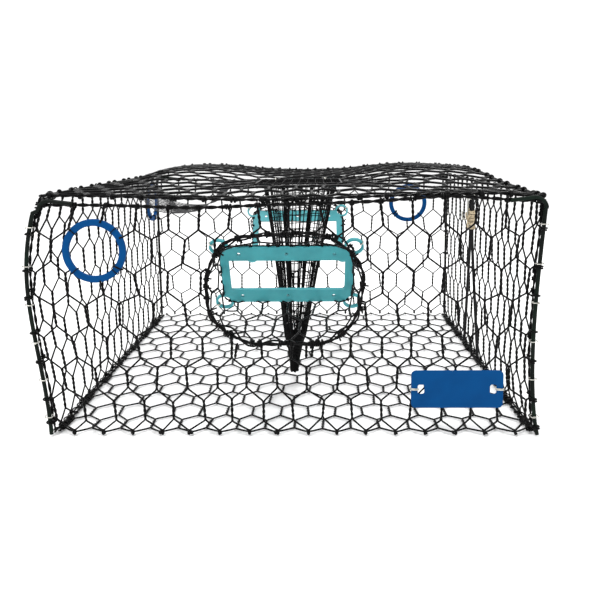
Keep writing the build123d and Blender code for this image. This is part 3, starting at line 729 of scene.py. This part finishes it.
def funnel_netting(name, flip, seed):
    """The funnel from a mouth to its gate, and the hoop of wires round the mouth."""
    rng = random.Random(seed)
    sizes = bpy.context.scene.trap_sizes
    mouth, size = mouth_of(name)
    flat, around = outline_points(size[0], size[2], MOUTH_CORNER, 240)
    mouth_line = np.stack([mouth[0] + flat[:, 0], np.full(241, -WALL_Y), mouth[2] + flat[:, 1]], 1)
    gate_flat, _ = outline_points(*GATE_OUTLINE, 240)
    back, up = math.sin(GATE_TILT), math.cos(GATE_TILT)
    gate_line = np.stack([mouth[0] + gate_flat[:, 0],
                          -WALL_Y + GATE_DEPTH - gate_flat[:, 1] * back + BEHIND_GATE * up,
                          mouth[2] + gate_flat[:, 1] * up + BEHIND_GATE * back], 1)
    share = np.linspace(0, 1, 241)

    def surface(s, t):
        s = np.mod(s, 1.0)
        a = np.stack([np.interp(s, share, mouth_line[:, k]) for k in range(3)], 1)
        b = np.stack([np.interp(s, share, gate_line[:, k]) for k in range(3)], 1)
        p = a + (b - a) * t[:, None]
        pull = 0.05 * np.sin(math.pi * np.clip(t, 0, 1))
        inward = (np.array([mouth[0], -WALL_Y, mouth[2]]) - p) * np.array([1.0, 0.0, 1.0])
        return p + inward * pull[:, None]

    def place(u, v, w):
        s, t = np.asarray(u) / around, np.asarray(v) / FUNNEL_DEEP
        du = surface(s + 0.004, t) - surface(s - 0.004, t)
        dv = surface(s, t + 0.02) - surface(s, t - 0.02)
        n = np.cross(du, dv)
        n /= np.maximum(np.linalg.norm(n, axis=1), 1e-12)[:, None]
        return surface(s, t) + n * np.asarray(w)[:, None]

    pairs = 15
    rims = [Rim(lambda u, v: v, HOOP_RIM, stub=0.009), Rim(lambda u, v: FUNNEL_DEEP - v, 0.0010)]
    strays = hex_wires(rng, 0.030, 3, 1.02, rims, place, columns=pairs // 2 - 1,
                       squeeze=around / pairs / sizes.column, around=2 * pairs)
    bottom = span(f"{name}_mouth_ring")[0][2] + EDGE_R + 0.001
    turns = np.linspace(0, 5.5, 19)
    for x in (-0.058, 0.026, 0.034):
        lean = rng.uniform(-0.003, 0.003)
        strays += [np.stack([mouth[0] + x + lean * turns / 5.5 + 0.0008 * np.cos(turns * 2 + phase),
                             -WALL_Y - 0.0024 + 0.0008 * np.sin(turns * 2 + phase),
                             bottom - 0.0175 * turns / 5.5], 1) for phase in (0.0, math.pi)]
    hoop_wire, gate_wire = sizes.strand * 1.05, sizes.strand * 0.55
    hoop = edge_rope(mouth_line[:-1], hoop_wire, 0.034, True, jitter=0.0012, seed=seed)
    hoop += edge_rope(mouth_line[:-1] + np.array([0, 0.0030, 0]), sizes.strand * 0.8, 0.047, True,
                      jitter=0.0042, seed=seed + 1)[:1]
    gate_rope = edge_rope(gate_line[:-1] + np.array([0, -0.0004, 0]), gate_wire, 0.016, True, seed=seed)
    if flip:
        strays, hoop, gate_rope = mirrored(strays), mirrored(hoop), mirrored(gate_rope)
    wire_piece(f"{name}_funnel_netting", [(sizes.strand * 0.95, False, strays), (gate_wire, True, gate_rope)],
               f"{name}_wall", f"{name}_funnel", slot="funnel_net")
    wire_piece(f"{name}_mouth_hoop", [(hoop_wire, True, hoop)], f"{name}_wall", f"{name}_mouth_ring")


def side_wall_netting(name, sign, seed):
    """A left or right wall: its netting and its two upright edges."""
    rng = random.Random(seed)
    sizes = bpy.context.scene.trap_sizes
    rims = [Rim(lambda u, v: u + SIDE_EDGE, EDGE_R), Rim(lambda u, v: SIDE_EDGE - u, EDGE_R),
            Rim(lambda u, v: SIDE_TOP - v, EDGE_R)]
    if name == "left":
        ring = middle("left_escape_ring")
        rims.append(ring_rim(ring[1], ring[2]))
    height = waves(seed, sizes.ripple, (-SIDE_EDGE, SIDE_EDGE), (0, SIDE_TOP))

    def place(y, z, w):
        bow = left_bow(z) if sign < 0 else -right_bow(z)
        bow = bow * smooth((-y - 0.09) / 0.19)
        return np.stack([sign * (WALL_X + w + bow) + height(y, z), y, np.maximum(z, LOWEST)], 1)

    wires = hex_wires(rng, *wall_rows(SIDE_TOP), rims, place, low_tips=True)
    wire_piece(f"{name}_netting", [(sizes.strand, False, wires)], f"{name}_wall", f"{name}_mesh")
    up = np.linspace(0.0045, SIDE_TOP, 60)
    edge = sizes.strand * 0.9
    ropes = []
    for y in (-SIDE_EDGE, SIDE_EDGE):
        ropes += edge_rope(place(np.full(60, y), up, np.zeros(60)), edge, RAIL_PITCH, jitter=0.0006,
                           seed=seed)
    wire_piece(f"{name}_side_edges", [(edge, False, ropes)], f"{name}_wall", f"{name}_side_wires")


def floor_netting(seed):
    """The floor, whose end rows rise to the hinge wires and stand in for their clips."""
    rng = random.Random(seed)
    sizes = bpy.context.scene.trap_sizes
    tip_y = WALL_Y - 0.0052
    base = 0.0019
    height = waves(seed, 0.0011, (-FLOOR_X, FLOOR_X), (-tip_y, tip_y), modes=6)

    def place(x, y, w):
        lift = np.clip((np.abs(y) - (tip_y - 0.02)) / 0.02, 0, 1) ** 2 * (PIVOT_Z - base + 0.0002)
        lift = lift + np.clip((np.abs(x) - (FLOOR_X - 0.012)) / 0.012, 0, 1) ** 2 * (PIVOT_Z - base)
        z = base + w + np.abs(height(x, y)) + np.minimum(lift, PIVOT_Z - base + 0.0002)
        return np.stack([x, y, np.maximum(z, LOWEST)], 1)

    pitch = sizes.twist + sizes.rise
    rows = 2 * int(round((2 * tip_y - sizes.rise) / pitch / 2))
    stretch = 2 * tip_y / (rows * pitch + sizes.rise)
    first = -tip_y + (pitch - sizes.twist / 2) * stretch
    rims = [Rim(lambda u, v: u + FLOOR_X, 0.0018), Rim(lambda u, v: FLOOR_X - u, 0.0018)]
    wires = hex_wires(rng, first, rows, stretch, rims, place, low_tips=True, high_tips=True)
    wire_piece("floor_netting", [(sizes.strand, False, wires)], "floor", "floor_mesh",
               "front_hinge_clips", "back_hinge_clips")


def floor_lacing(seed):
    """The floor's side edges, each laced to its wall by one long coil."""
    strand = bpy.context.scene.trap_sizes.strand
    end_y, rise_y = 0.2885, 0.0165 / 12
    ropes, coils = [], []
    for side in (-1, 1):
        line = np.array([(side * FLOOR_X, y, PIVOT_Z) for y in np.linspace(-0.2895, 0.2895, 40)])
        ropes += edge_rope(line, strand, 0.024, seed=seed + side)
        across = side * (FLOOR_X + WALL_X) / 2
        wide = (WALL_X - FLOOR_X) / 2 + 0.0032
        coil = []
        turn = 0
        while (y := -end_y + turn * rise_y) <= end_y:
            angle = turn * math.pi / 6
            coil.append((across + side * wide * math.cos(angle), y + 0.0012 * math.sin(y * 90),
                         PIVOT_Z + 0.0002 + 0.0024 * math.sin(angle)))
            turn += 1
        coils.append(coil)
    wire_piece("floor_lacing", [(strand, False, ropes), (strand * 0.8, False, coils)], "floor",
               "floor_edge_wires", "left_hinge_clips", "right_hinge_clips")


def lid_height():
    """Height of the lid above its plane: still at the hinge and round the bait door, wavy elsewhere."""
    low, high = span("bait_door_edge_wire")
    ripple = waves(77, bpy.context.scene.trap_sizes.lid_ripple, (-0.40, 0.40), (-0.40, 0.40), modes=5)
    crest = 0.0215

    def height(x, y):
        near_hinge = smooth((x + WALL_X) / 0.07)
        off_x = np.maximum(np.maximum(low[0] - x, x - high[0]), 0)
        off_y = np.maximum(np.maximum(low[1] - y, y - high[1]), 0)
        off_door = smooth(np.hypot(off_x, off_y) / 0.075)
        front = smooth((-y - 0.17) / 0.125)
        hang = -0.007 * bell(x, -0.02, 0.15) * front
        crown = 0.007 * smooth((y + 0.1) / 0.25)
        left_hump = 0.019 * bell(x, -0.19, 0.085) * smooth((y + 0.26) / 0.35)
        right_hump = 0.019 * bell(x, 0.215, 0.095) * smooth((y + 0.27) / 0.35)
        corner = 0.004 * smooth((x - 0.24) / 0.05) * front
        total = near_hinge * off_door * (hang + crown + left_hump + right_hump - corner
                                         + ripple(x, y) * (1 - 0.5 * front))
        return np.where(total > 0, crest * np.tanh(total / crest), total)
    return height


def well_radius():
    """Radius of the hoop that the bait well hangs from."""
    low, high = span("bait_well_rim")
    return (high[0] - low[0]) / 2 - EDGE_R


def lid_netting(seed):
    """The wavy lid, open where the bait well hangs, and its twisted edges."""
    rng = random.Random(seed)
    sizes = bpy.context.scene.trap_sizes
    well = middle("bait_well_rim")
    well_r = well_radius()
    height = lid_height()

    def place(x, y, w):
        return np.stack([x, y, LID_Z + height(x, y) + w], 1)

    rims = [Rim(lambda u, v: u + WALL_X, 0.0012), Rim(lambda u, v: LID_EDGE - u, EDGE_R),
            Rim(lambda u, v: v + LID_EDGE, EDGE_R), Rim(lambda u, v: LID_EDGE - v, EDGE_R),
            Rim(lambda u, v: np.hypot(u - well[0], v - well[1]) - well_r, EDGE_R, offset=-0.0022)]
    rows = int(round(2 * LID_EDGE / (sizes.twist + sizes.rise))) + 1
    wires = hex_wires(rng, -LID_EDGE + 0.008, rows, 1.0, rims, place, middle_u=0.006)
    lid_wire = sizes.strand * 1.55
    wire_piece("lid_netting", [(lid_wire, False, wires)], "lid", "lid_mesh")
    across = np.linspace(-WALL_X + 0.002, LID_EDGE, 80)
    along = np.linspace(-LID_EDGE, LID_EDGE, 80)
    ropes = []
    for x, y in ((across, np.full(80, -LID_EDGE)), (across, np.full(80, LID_EDGE)),
                 (np.full(80, LID_EDGE), along)):
        ropes += edge_rope(place(x, y, np.zeros(80)), sizes.strand, RAIL_PITCH, seed=seed)
    wire_piece("lid_edges", [(sizes.strand, False, ropes)], "lid", "lid_edge_wires")


# ---- bait well, door and patch ----
def bait_well_netting(seed):
    """A tapered well of twine: uprights, heavy seams and rings, wound together at its tip."""
    rng = random.Random(seed)
    top = middle("bait_well_rim")
    top_r, neck_r, tip_r = well_radius(), 0.0135, 0.0032
    tie_low, tie_high = span("bait_well_tie")
    top_z, neck_z, tip_z = span("bait_well")[1][2], tie_high[2], tie_low[2]
    ends = np.vstack(islands("bait_well_tie"))
    tip = ends[ends[:, 2] < tip_z + 0.002].mean(0)
    uprights_round, rings_round, twist_round = 46, 44, 46

    def down(z):
        """How far down the well a height is, from 0 at the top to 1 at the tip."""
        return (top_z - z) / (top_z - tip_z)

    def radius(z):
        if z > neck_z:
            t = (top_z - z) / (top_z - neck_z)
            return top_r + (neck_r - top_r) * t - 0.0016 * math.sin(math.pi * t)
        t = (neck_z - z) / (neck_z - tip_z)
        return neck_r + (tip_r - neck_r) * t ** 0.6

    def point(angle, z, out=0.0):
        t = down(z)
        r = radius(z) + out
        return (top[0] + (tip[0] - top[0]) * t + r * math.cos(angle),
                top[1] + (tip[1] - top[1]) * t + r * math.sin(angle), z)

    def wind(t):
        """Below the neck every thread winds round the others."""
        return 2.4 * max(0.0, t - 0.72)

    uprights, heavy, rings, twist = [], [], [], []
    for i in range(uprights_round):
        angle = 2 * math.pi * i / uprights_round + rng.gauss(0, 0.035)
        sway = rng.gauss(0, 0.03)
        phase = any_phase(rng)
        pts = [point(angle, top_z + 0.0015, 0.0006)]
        z = top_z - 0.002
        while z > tip_z + 0.004:
            turn = angle + sway * math.sin(7 * down(z) + phase) + wind(down(z))
            pts.append(point(turn, z, rng.uniform(-0.0003, 0.0003)))
            z -= 0.0095
        uprights.append(pts)
    for seam in (-115, 2, 178, 70):
        for k in range(3):
            angle = math.radians(seam) + (k - 1) * 0.032
            pts = []
            z = top_z
            while z > tip_z + 0.002:
                pts.append(point(angle + 0.02 * math.sin(11 * down(z) + k * 2.1) + wind(down(z)), z,
                                 0.0007 + 0.0008 * (k % 2)))
                z -= 0.007
            heavy.append(pts)
    z = top_z - 0.006
    while z > neck_z - 0.02:
        tilt = rng.gauss(0, 0.0016)
        phase = any_phase(rng)
        turns = [2 * math.pi * i / rings_round for i in range(rings_round)]
        rings.append([point(a, z + tilt * math.sin(a + phase) + 0.0007 * math.sin(5 * a + phase * 2),
                            0.0004) for a in turns])
        z -= 0.0108 + rng.gauss(0, 0.0007)
    for k in range(5):
        steps = [i / (twist_round - 1) for i in range(twist_round)]
        twist.append([point(2 * math.pi * (k / 5 + 2.2 * t), neck_z + 0.008 - (neck_z + 0.004 - tip_z) * t,
                            0.0004 - 0.0016 * (1 - t)) for t in steps])
    threads = [(0.0015, False, uprights), (0.0034, False, heavy), (0.0014, True, rings)]
    wire_piece("bait_well_netting", threads, "lid", "bait_well", finish="net_twine")
    wire_piece("bait_well_twist", [(0.0058, False, twist)], "lid", "bait_well_tie", finish="net_twine")


def bait_door_netting():
    """Twine woven over and under, from edge to edge of the bait door."""
    low, high = span("bait_door_mesh")
    pitch, strand = 0.012, 0.0013
    paths = []
    for axis in (0, 1):
        lo, hi = low[axis], high[axis]
        other_lo, other_hi = low[1 - axis], high[1 - axis]
        for k in range(-5, 6):
            at = (lo + hi) / 2 + k * pitch
            if not lo + 0.003 < at < hi - 0.003:
                continue
            pts = []
            for s in np.linspace(other_lo - 0.0004, other_hi + 0.0004, 46):
                lift = 0.45 * strand * math.sin(math.pi * (s - (other_lo + other_hi) / 2) / pitch
                                                + k * math.pi + axis * math.pi)
                p = [0.0, 0.0, (low[2] + high[2]) / 2 + lift]
                p[axis], p[1 - axis] = at, s
                pts.append(p)
            paths.append(pts)
    wire_piece("bait_door_netting", [(strand, False, paths)], "bait_door", "bait_door_mesh",
               finish="net_twine")


def net_patch(seed):
    """A trough of fine netting that sags below the lid, with a thicker thread at each long edge."""
    rng = random.Random(seed)
    low, high = span("lid_net_patch")
    half = (high[0] - low[0]) / 2
    sag = high[2] - low[2]
    radius = (half ** 2 + sag ** 2) / (2 * sag)
    limit = math.asin(half / radius)
    long_lines, cross_lines = 27, 24
    along = np.linspace(low[1], high[1], 34)

    def point(angle, y):
        dip = 0.004 * math.sin(23 * y + 3 * angle) * math.cos(angle * 1.2)
        r = radius - 0.001 - abs(dip)
        return ((low[0] + high[0]) / 2 + r * math.sin(angle), y, low[2] + radius - r * math.cos(angle))

    lines = []
    for i in range(long_lines + 1):
        a0 = -limit + 2 * limit * i / long_lines
        phase = any_phase(rng)
        lines.append([point(a0 + 0.008 * math.sin(40 * y + phase), y) for y in along])
    for i in range(cross_lines + 1):
        y0 = low[1] + (high[1] - low[1]) * i / cross_lines
        phase = any_phase(rng)
        lines.append([point(a, y0 + 0.0008 * math.sin(6 * a + phase))
                      for a in np.linspace(-limit, limit, 34)])
    hem = [[point(a, y) for y in along] for a in (-limit, limit)]
    wire_piece("net_patch_netting", [(0.0009, False, lines), (0.0018, False, hem)], "lid", "lid_net_patch",
               finish="fine_twine")


# ---- fastenings ----
def hog_rings(name, node, body, wire, finish, seed, turns=1, follow=None):
    """One bent ring for each clip of a node. follow carries the rings along with the bent rods."""
    rng = random.Random(seed)
    paths = [np.array(hog_ring_path(corners, wire, rng, turns)) for corners in islands(node)]
    for path in paths if follow else ():
        path[:, 0] = follow(path[:, 0], path[:, 2])
    wire_piece(name, [(wire, False, paths)], body, node, finish=finish, sides=8)


def tie_down():
    """The elastic runs up from one foot, over and down to the other, and jute binds its two legs."""
    foot_low, foot_high = span("tie_down_cord")
    cord_r = 0.0025
    near_y, far_y = float(foot_low[1]) + cord_r, float(foot_high[1]) - cord_r
    mid_y = (near_y + far_y) / 2
    bight_z = float(foot_high[2]) - cord_r
    foot_z = float(foot_low[2])
    leg = 0.0065
    x = 0.2909
    foot_x = 0.2948
    route = [(foot_x, near_y, foot_z), (0.2938, near_y + 0.0115, 0.058),
             (0.2922, mid_y - leg - 0.013, 0.135),
             (x, mid_y - leg, 0.200), (x, mid_y - leg, 0.236), (x, mid_y - leg, bight_z - 0.004),
             (x, mid_y - leg * 0.5, bight_z + 0.0022), (x, mid_y + leg * 0.5, bight_z + 0.0022),
             (x, mid_y + leg, bight_z - 0.004), (x, mid_y + leg, 0.236), (x, mid_y + leg, 0.200),
             (0.2922, mid_y + leg + 0.013, 0.135), (0.2938, far_y - 0.0115, 0.058), (foot_x, far_y, foot_z)]
    curve = bpy.data.curves.new("tie_down_elastic", "CURVE")
    curve.dimensions = "3D"
    spline = curve.splines.new("NURBS")
    spline.points.add(len(route) - 1)
    for point, at in zip(spline.points, route):
        point.co = (*at, 1)
    spline.order_u = 3
    spline.use_endpoint_u = True
    spline.resolution_u = 8
    curve.bevel_depth = cord_r
    curve.bevel_resolution = 3
    curve.use_fill_caps = True
    elastic = bpy.data.objects.new("tie_down_elastic", curve)
    bpy.context.scene.collection.objects.link(elastic)
    curve.materials.append(finish_material("elastic_cover"))
    settle(elastic, "right_wall", "black_elastic", "tie_down_cord")
    long = 2 * (math.dist(route[0], route[3]) + route[5][2] - route[3][2]) + 0.022
    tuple(route[0])

    low, high = span("jute_loop")
    rng = random.Random(5)
    twine = 0.0032
    around = 16
    pts = []
    z = low[2] + twine / 2
    half_long = leg + cord_r + twine / 2
    half_wide = cord_r + twine / 2
    while z < high[2] - twine / 2:
        a = len(pts) * 2 * math.pi / around
        c, s = soft_square(a)
        pts.append((x + half_wide * c + rng.gauss(0, 0.0001), mid_y + half_long * s,
                    z + 0.0005 * math.sin(a * 0.5)))
        z += twine * 0.98 / around
    knot = [(x - 0.005 - 0.004 * math.sin(a), mid_y + 0.006 * math.cos(a),
             high[2] - 0.012 + 0.005 * math.sin(2 * a)) for a in np.linspace(0, 2 * math.pi, 15)[:-1]]
    tail = [(x - 0.006, mid_y - 0.004, high[2] - 0.010), (x - 0.0085, mid_y - 0.008, high[2] - 0.018),
            (x - 0.009, mid_y - 0.010, high[2] - 0.030)]
    wire_piece("jute_binding", [(twine, False, [pts]), (0.0028, True, [knot]), (0.0022, False, [tail])],
               "right_wall", "jute_loop", finish="jute_fibre", sides=8)


# ---- operators ----
class TRAP_OT_stage(bpy.types.Operator):
    """Set the pale floor, the studio light and the camera"""
    bl_idname = "trap.stage"
    bl_label = "Stage"

    def execute(self, context):
        scene = context.scene
        deselect()
        bpy.ops.mesh.primitive_plane_add(size=120, location=(0, 20, -0.0006))
        ground = bpy.context.object
        ground.name = "studio_floor"
        paper = bpy.data.materials.new("studio_paper")
        paper.use_nodes = True
        shader = paper.node_tree.nodes["Principled BSDF"]
        for socket, value in (("Base Color", (*scene.trap_colours.ground, 1)), ("Roughness", 0.9),
                              ("Specular IOR Level", 0.1)):
            shader.inputs[socket].default_value = value
        ground.data.materials.append(paper)
        scene.world = bpy.data.worlds.new("studio_air")
        scene.world.use_nodes = True
        air = scene.world.node_tree.nodes["Background"]
        air.inputs["Color"].default_value = (1, 1, 1, 1)
        air.inputs["Strength"].default_value = 1.0
        for name, at, aim, wide, power in (("key", (-0.7, -1.3, 2.4), (0, 0, 0.15), 0.5, 34),
                                           ("fill", (1.8, -1.0, 1.5), (0, 0, 0.15), 0.6, 9),
                                           ("back", (0.3, 1.6, 2.2), (0, 0, 0.2), 0.5, 26)):
            light = bpy.data.lights.new(name, "AREA")
            light.energy = power
            light.size = wide
            lamp = bpy.data.objects.new(name, light)
            scene.collection.objects.link(lamp)
            lamp.location = at
            lamp.rotation_mode = "QUATERNION"
            lamp.rotation_quaternion = (Vector(aim) - Vector(at)).to_track_quat("-Z", "Y")
        lens = bpy.data.cameras.new("camera")
        lens.sensor_width = 36
        lens.lens = 39.95
        lens.shift_y = -0.1053
        lens.clip_start = 0.01
        camera = bpy.data.objects.new("camera", lens)
        scene.collection.objects.link(camera)
        pitch, yaw, roll = (math.radians(a) for a in (7.79, -1.42, -0.58))
        forward = Vector((math.sin(yaw) * math.cos(pitch), math.cos(yaw) * math.cos(pitch), -math.sin(pitch)))
        level = Vector((math.cos(yaw), -math.sin(yaw), 0))
        upright = level.cross(forward)
        right = level * math.cos(roll) + upright * math.sin(roll)
        up = upright * math.cos(roll) - level * math.sin(roll)
        turn = Matrix((right, up, -forward)).transposed()
        camera.matrix_world = Matrix.Translation((0.0308, -1.0788, 0.3552)) @ turn.to_4x4()
        scene.camera = camera
        scene.view_settings.view_transform = "Standard"
        scene.view_settings.exposure = 0.16
        return {"FINISHED"}


class TRAP_OT_tie_down(bpy.types.Operator):
    """Lay the elastic tie-down and bind it with jute"""
    bl_idname = "trap.tie_down"
    bl_label = "Tie-down"

    def execute(self, context):
        deselect()
        tie_down()
        return {"FINISHED"}


class TRAP_OT_corner_rods(bpy.types.Operator):
    """Bend the four corner rods"""
    bl_idname = "trap.corner_rods"
    bl_label = "Corner Rods"

    def execute(self, context):
        deselect()
        corner_rods("front", False)
        corner_rods("back", True)
        return {"FINISHED"}


class TRAP_OT_end_walls(bpy.types.Operator):
    """Weave the front and back walls, their mouths and their funnels"""
    bl_idname = "trap.end_walls"
    bl_label = "End Walls"

    def execute(self, context):
        deselect()
        for name, flip, seed in (("front", False, 11), ("back", True, 23)):
            end_wall_netting(name, flip, seed)
            funnel_netting(name, flip, seed + 5)
        return {"FINISHED"}


class TRAP_OT_side_walls(bpy.types.Operator):
    """Weave the left and right walls"""
    bl_idname = "trap.side_walls"
    bl_label = "Side Walls"

    def execute(self, context):
        deselect()
        side_wall_netting("left", -1, 31)
        side_wall_netting("right", 1, 43)
        return {"FINISHED"}


class TRAP_OT_floor(bpy.types.Operator):
    """Weave the floor and lace its sides"""
    bl_idname = "trap.floor"
    bl_label = "Floor"

    def execute(self, context):
        deselect()
        floor_netting(51)
        floor_lacing(51)
        return {"FINISHED"}


class TRAP_OT_lid(bpy.types.Operator):
    """Weave the lid and its wavy edges"""
    bl_idname = "trap.lid"
    bl_label = "Lid"

    def execute(self, context):
        deselect()
        lid_netting(61)
        return {"FINISHED"}


class TRAP_OT_bait_well(bpy.types.Operator):
    """Knit the bait well, its door and the net patch"""
    bl_idname = "trap.bait_well"
    bl_label = "Bait Well"

    def execute(self, context):
        deselect()
        bait_well_netting(71)
        bait_door_netting()
        net_patch(81)
        return {"FINISHED"}


class TRAP_OT_fastenings(bpy.types.Operator):
    """Bend the hog rings and wire ties"""
    bl_idname = "trap.fastenings"
    bl_label = "Fastenings"

    def execute(self, context):
        deselect()
        steel, black = "galvanised", "wire_coating"
        for i, name in enumerate(("front", "back")):
            wall = f"{name}_wall"
            hog_rings(f"{name}_rod_rings", f"{name}_rod_clips", wall, 0.0011, steel, 91 + i,
                      follow=None if i else follow_rods)
            hog_rings(f"{name}_gate_rings", f"{name}_gate_clips", wall, 0.0017, steel, 93 + i)
        for i, name in enumerate(("front", "back", "left")):
            hog_rings(f"{name}_ring_ties", f"{name}_ring_clips", f"{name}_wall", 0.0013, black, 95 + i)
        hog_rings("tag_ties", "id_tag_clips", "front_wall", 0.0013, steel, 99, turns=2)
        hog_rings("lid_hinge_rings", "lid_hinge_clips", "left_wall", 0.0017, black, 101)
        hog_rings("door_hinge_rings", "bait_door_clips", "lid", 0.0017, steel, 103)
        return {"FINISHED"}


class TRAP_OT_finishes(bpy.types.Operator):
    """Give every remaining frame piece its finish"""
    bl_idname = "trap.finishes"
    bl_label = "Finishes"

    def execute(self, context):
        deselect()
        for name, node in NODES.items():
            finish = "wire_coating"
            for part, other, at_end in (
                    ("_gate", "gate_plastic", True), ("escape_ring", "ring_plastic", False),
                    ("id_tag", "ring_plastic", True), ("corner_rod", "rod_coating", False),
                    ("hook", "galvanised", False)):
                if name.endswith(part) if at_end else part in name:
                    finish = other
            for slot in node.material_slots:
                slot.material = finish_material(finish)
            if not node.material_slots:
                node.data.materials.append(finish_material(finish))
        return {"FINISHED"}


STEPS = (TRAP_OT_stage, TRAP_OT_tie_down, TRAP_OT_corner_rods, TRAP_OT_end_walls, TRAP_OT_side_walls,
         TRAP_OT_floor, TRAP_OT_lid, TRAP_OT_bait_well, TRAP_OT_fastenings, TRAP_OT_finishes)


class TRAP_PT_panel(bpy.types.Panel):
    bl_label = "Folding Crab Trap"
    bl_idname = "TRAP_PT_panel"
    bl_space_type = "VIEW_3D"
    bl_region_type = "UI"
    bl_category = "Crab Trap"

    def draw(self, context):
        for group in (context.scene.trap_sizes, context.scene.trap_colours):
            for name in group.__annotations__:
                self.layout.prop(group, name)
        for step in STEPS:
            self.layout.operator(step.bl_idname)


CLASSES = (TrapWireSizes, TrapColours, *STEPS, TRAP_PT_panel)


def register():
    for item in CLASSES:
        bpy.utils.register_class(item)
    bpy.types.Scene.trap_sizes = PointerProperty(type=TrapWireSizes)
    bpy.types.Scene.trap_colours = PointerProperty(type=TrapColours)


def unregister():
    del bpy.types.Scene.trap_colours
    del bpy.types.Scene.trap_sizes
    for item in reversed(CLASSES):
        bpy.utils.unregister_class(item)


def main():
    register()
    for step in STEPS:
        getattr(bpy.ops.trap, step.bl_idname.split(".")[1])()


if __name__ == "__main__":
    main()
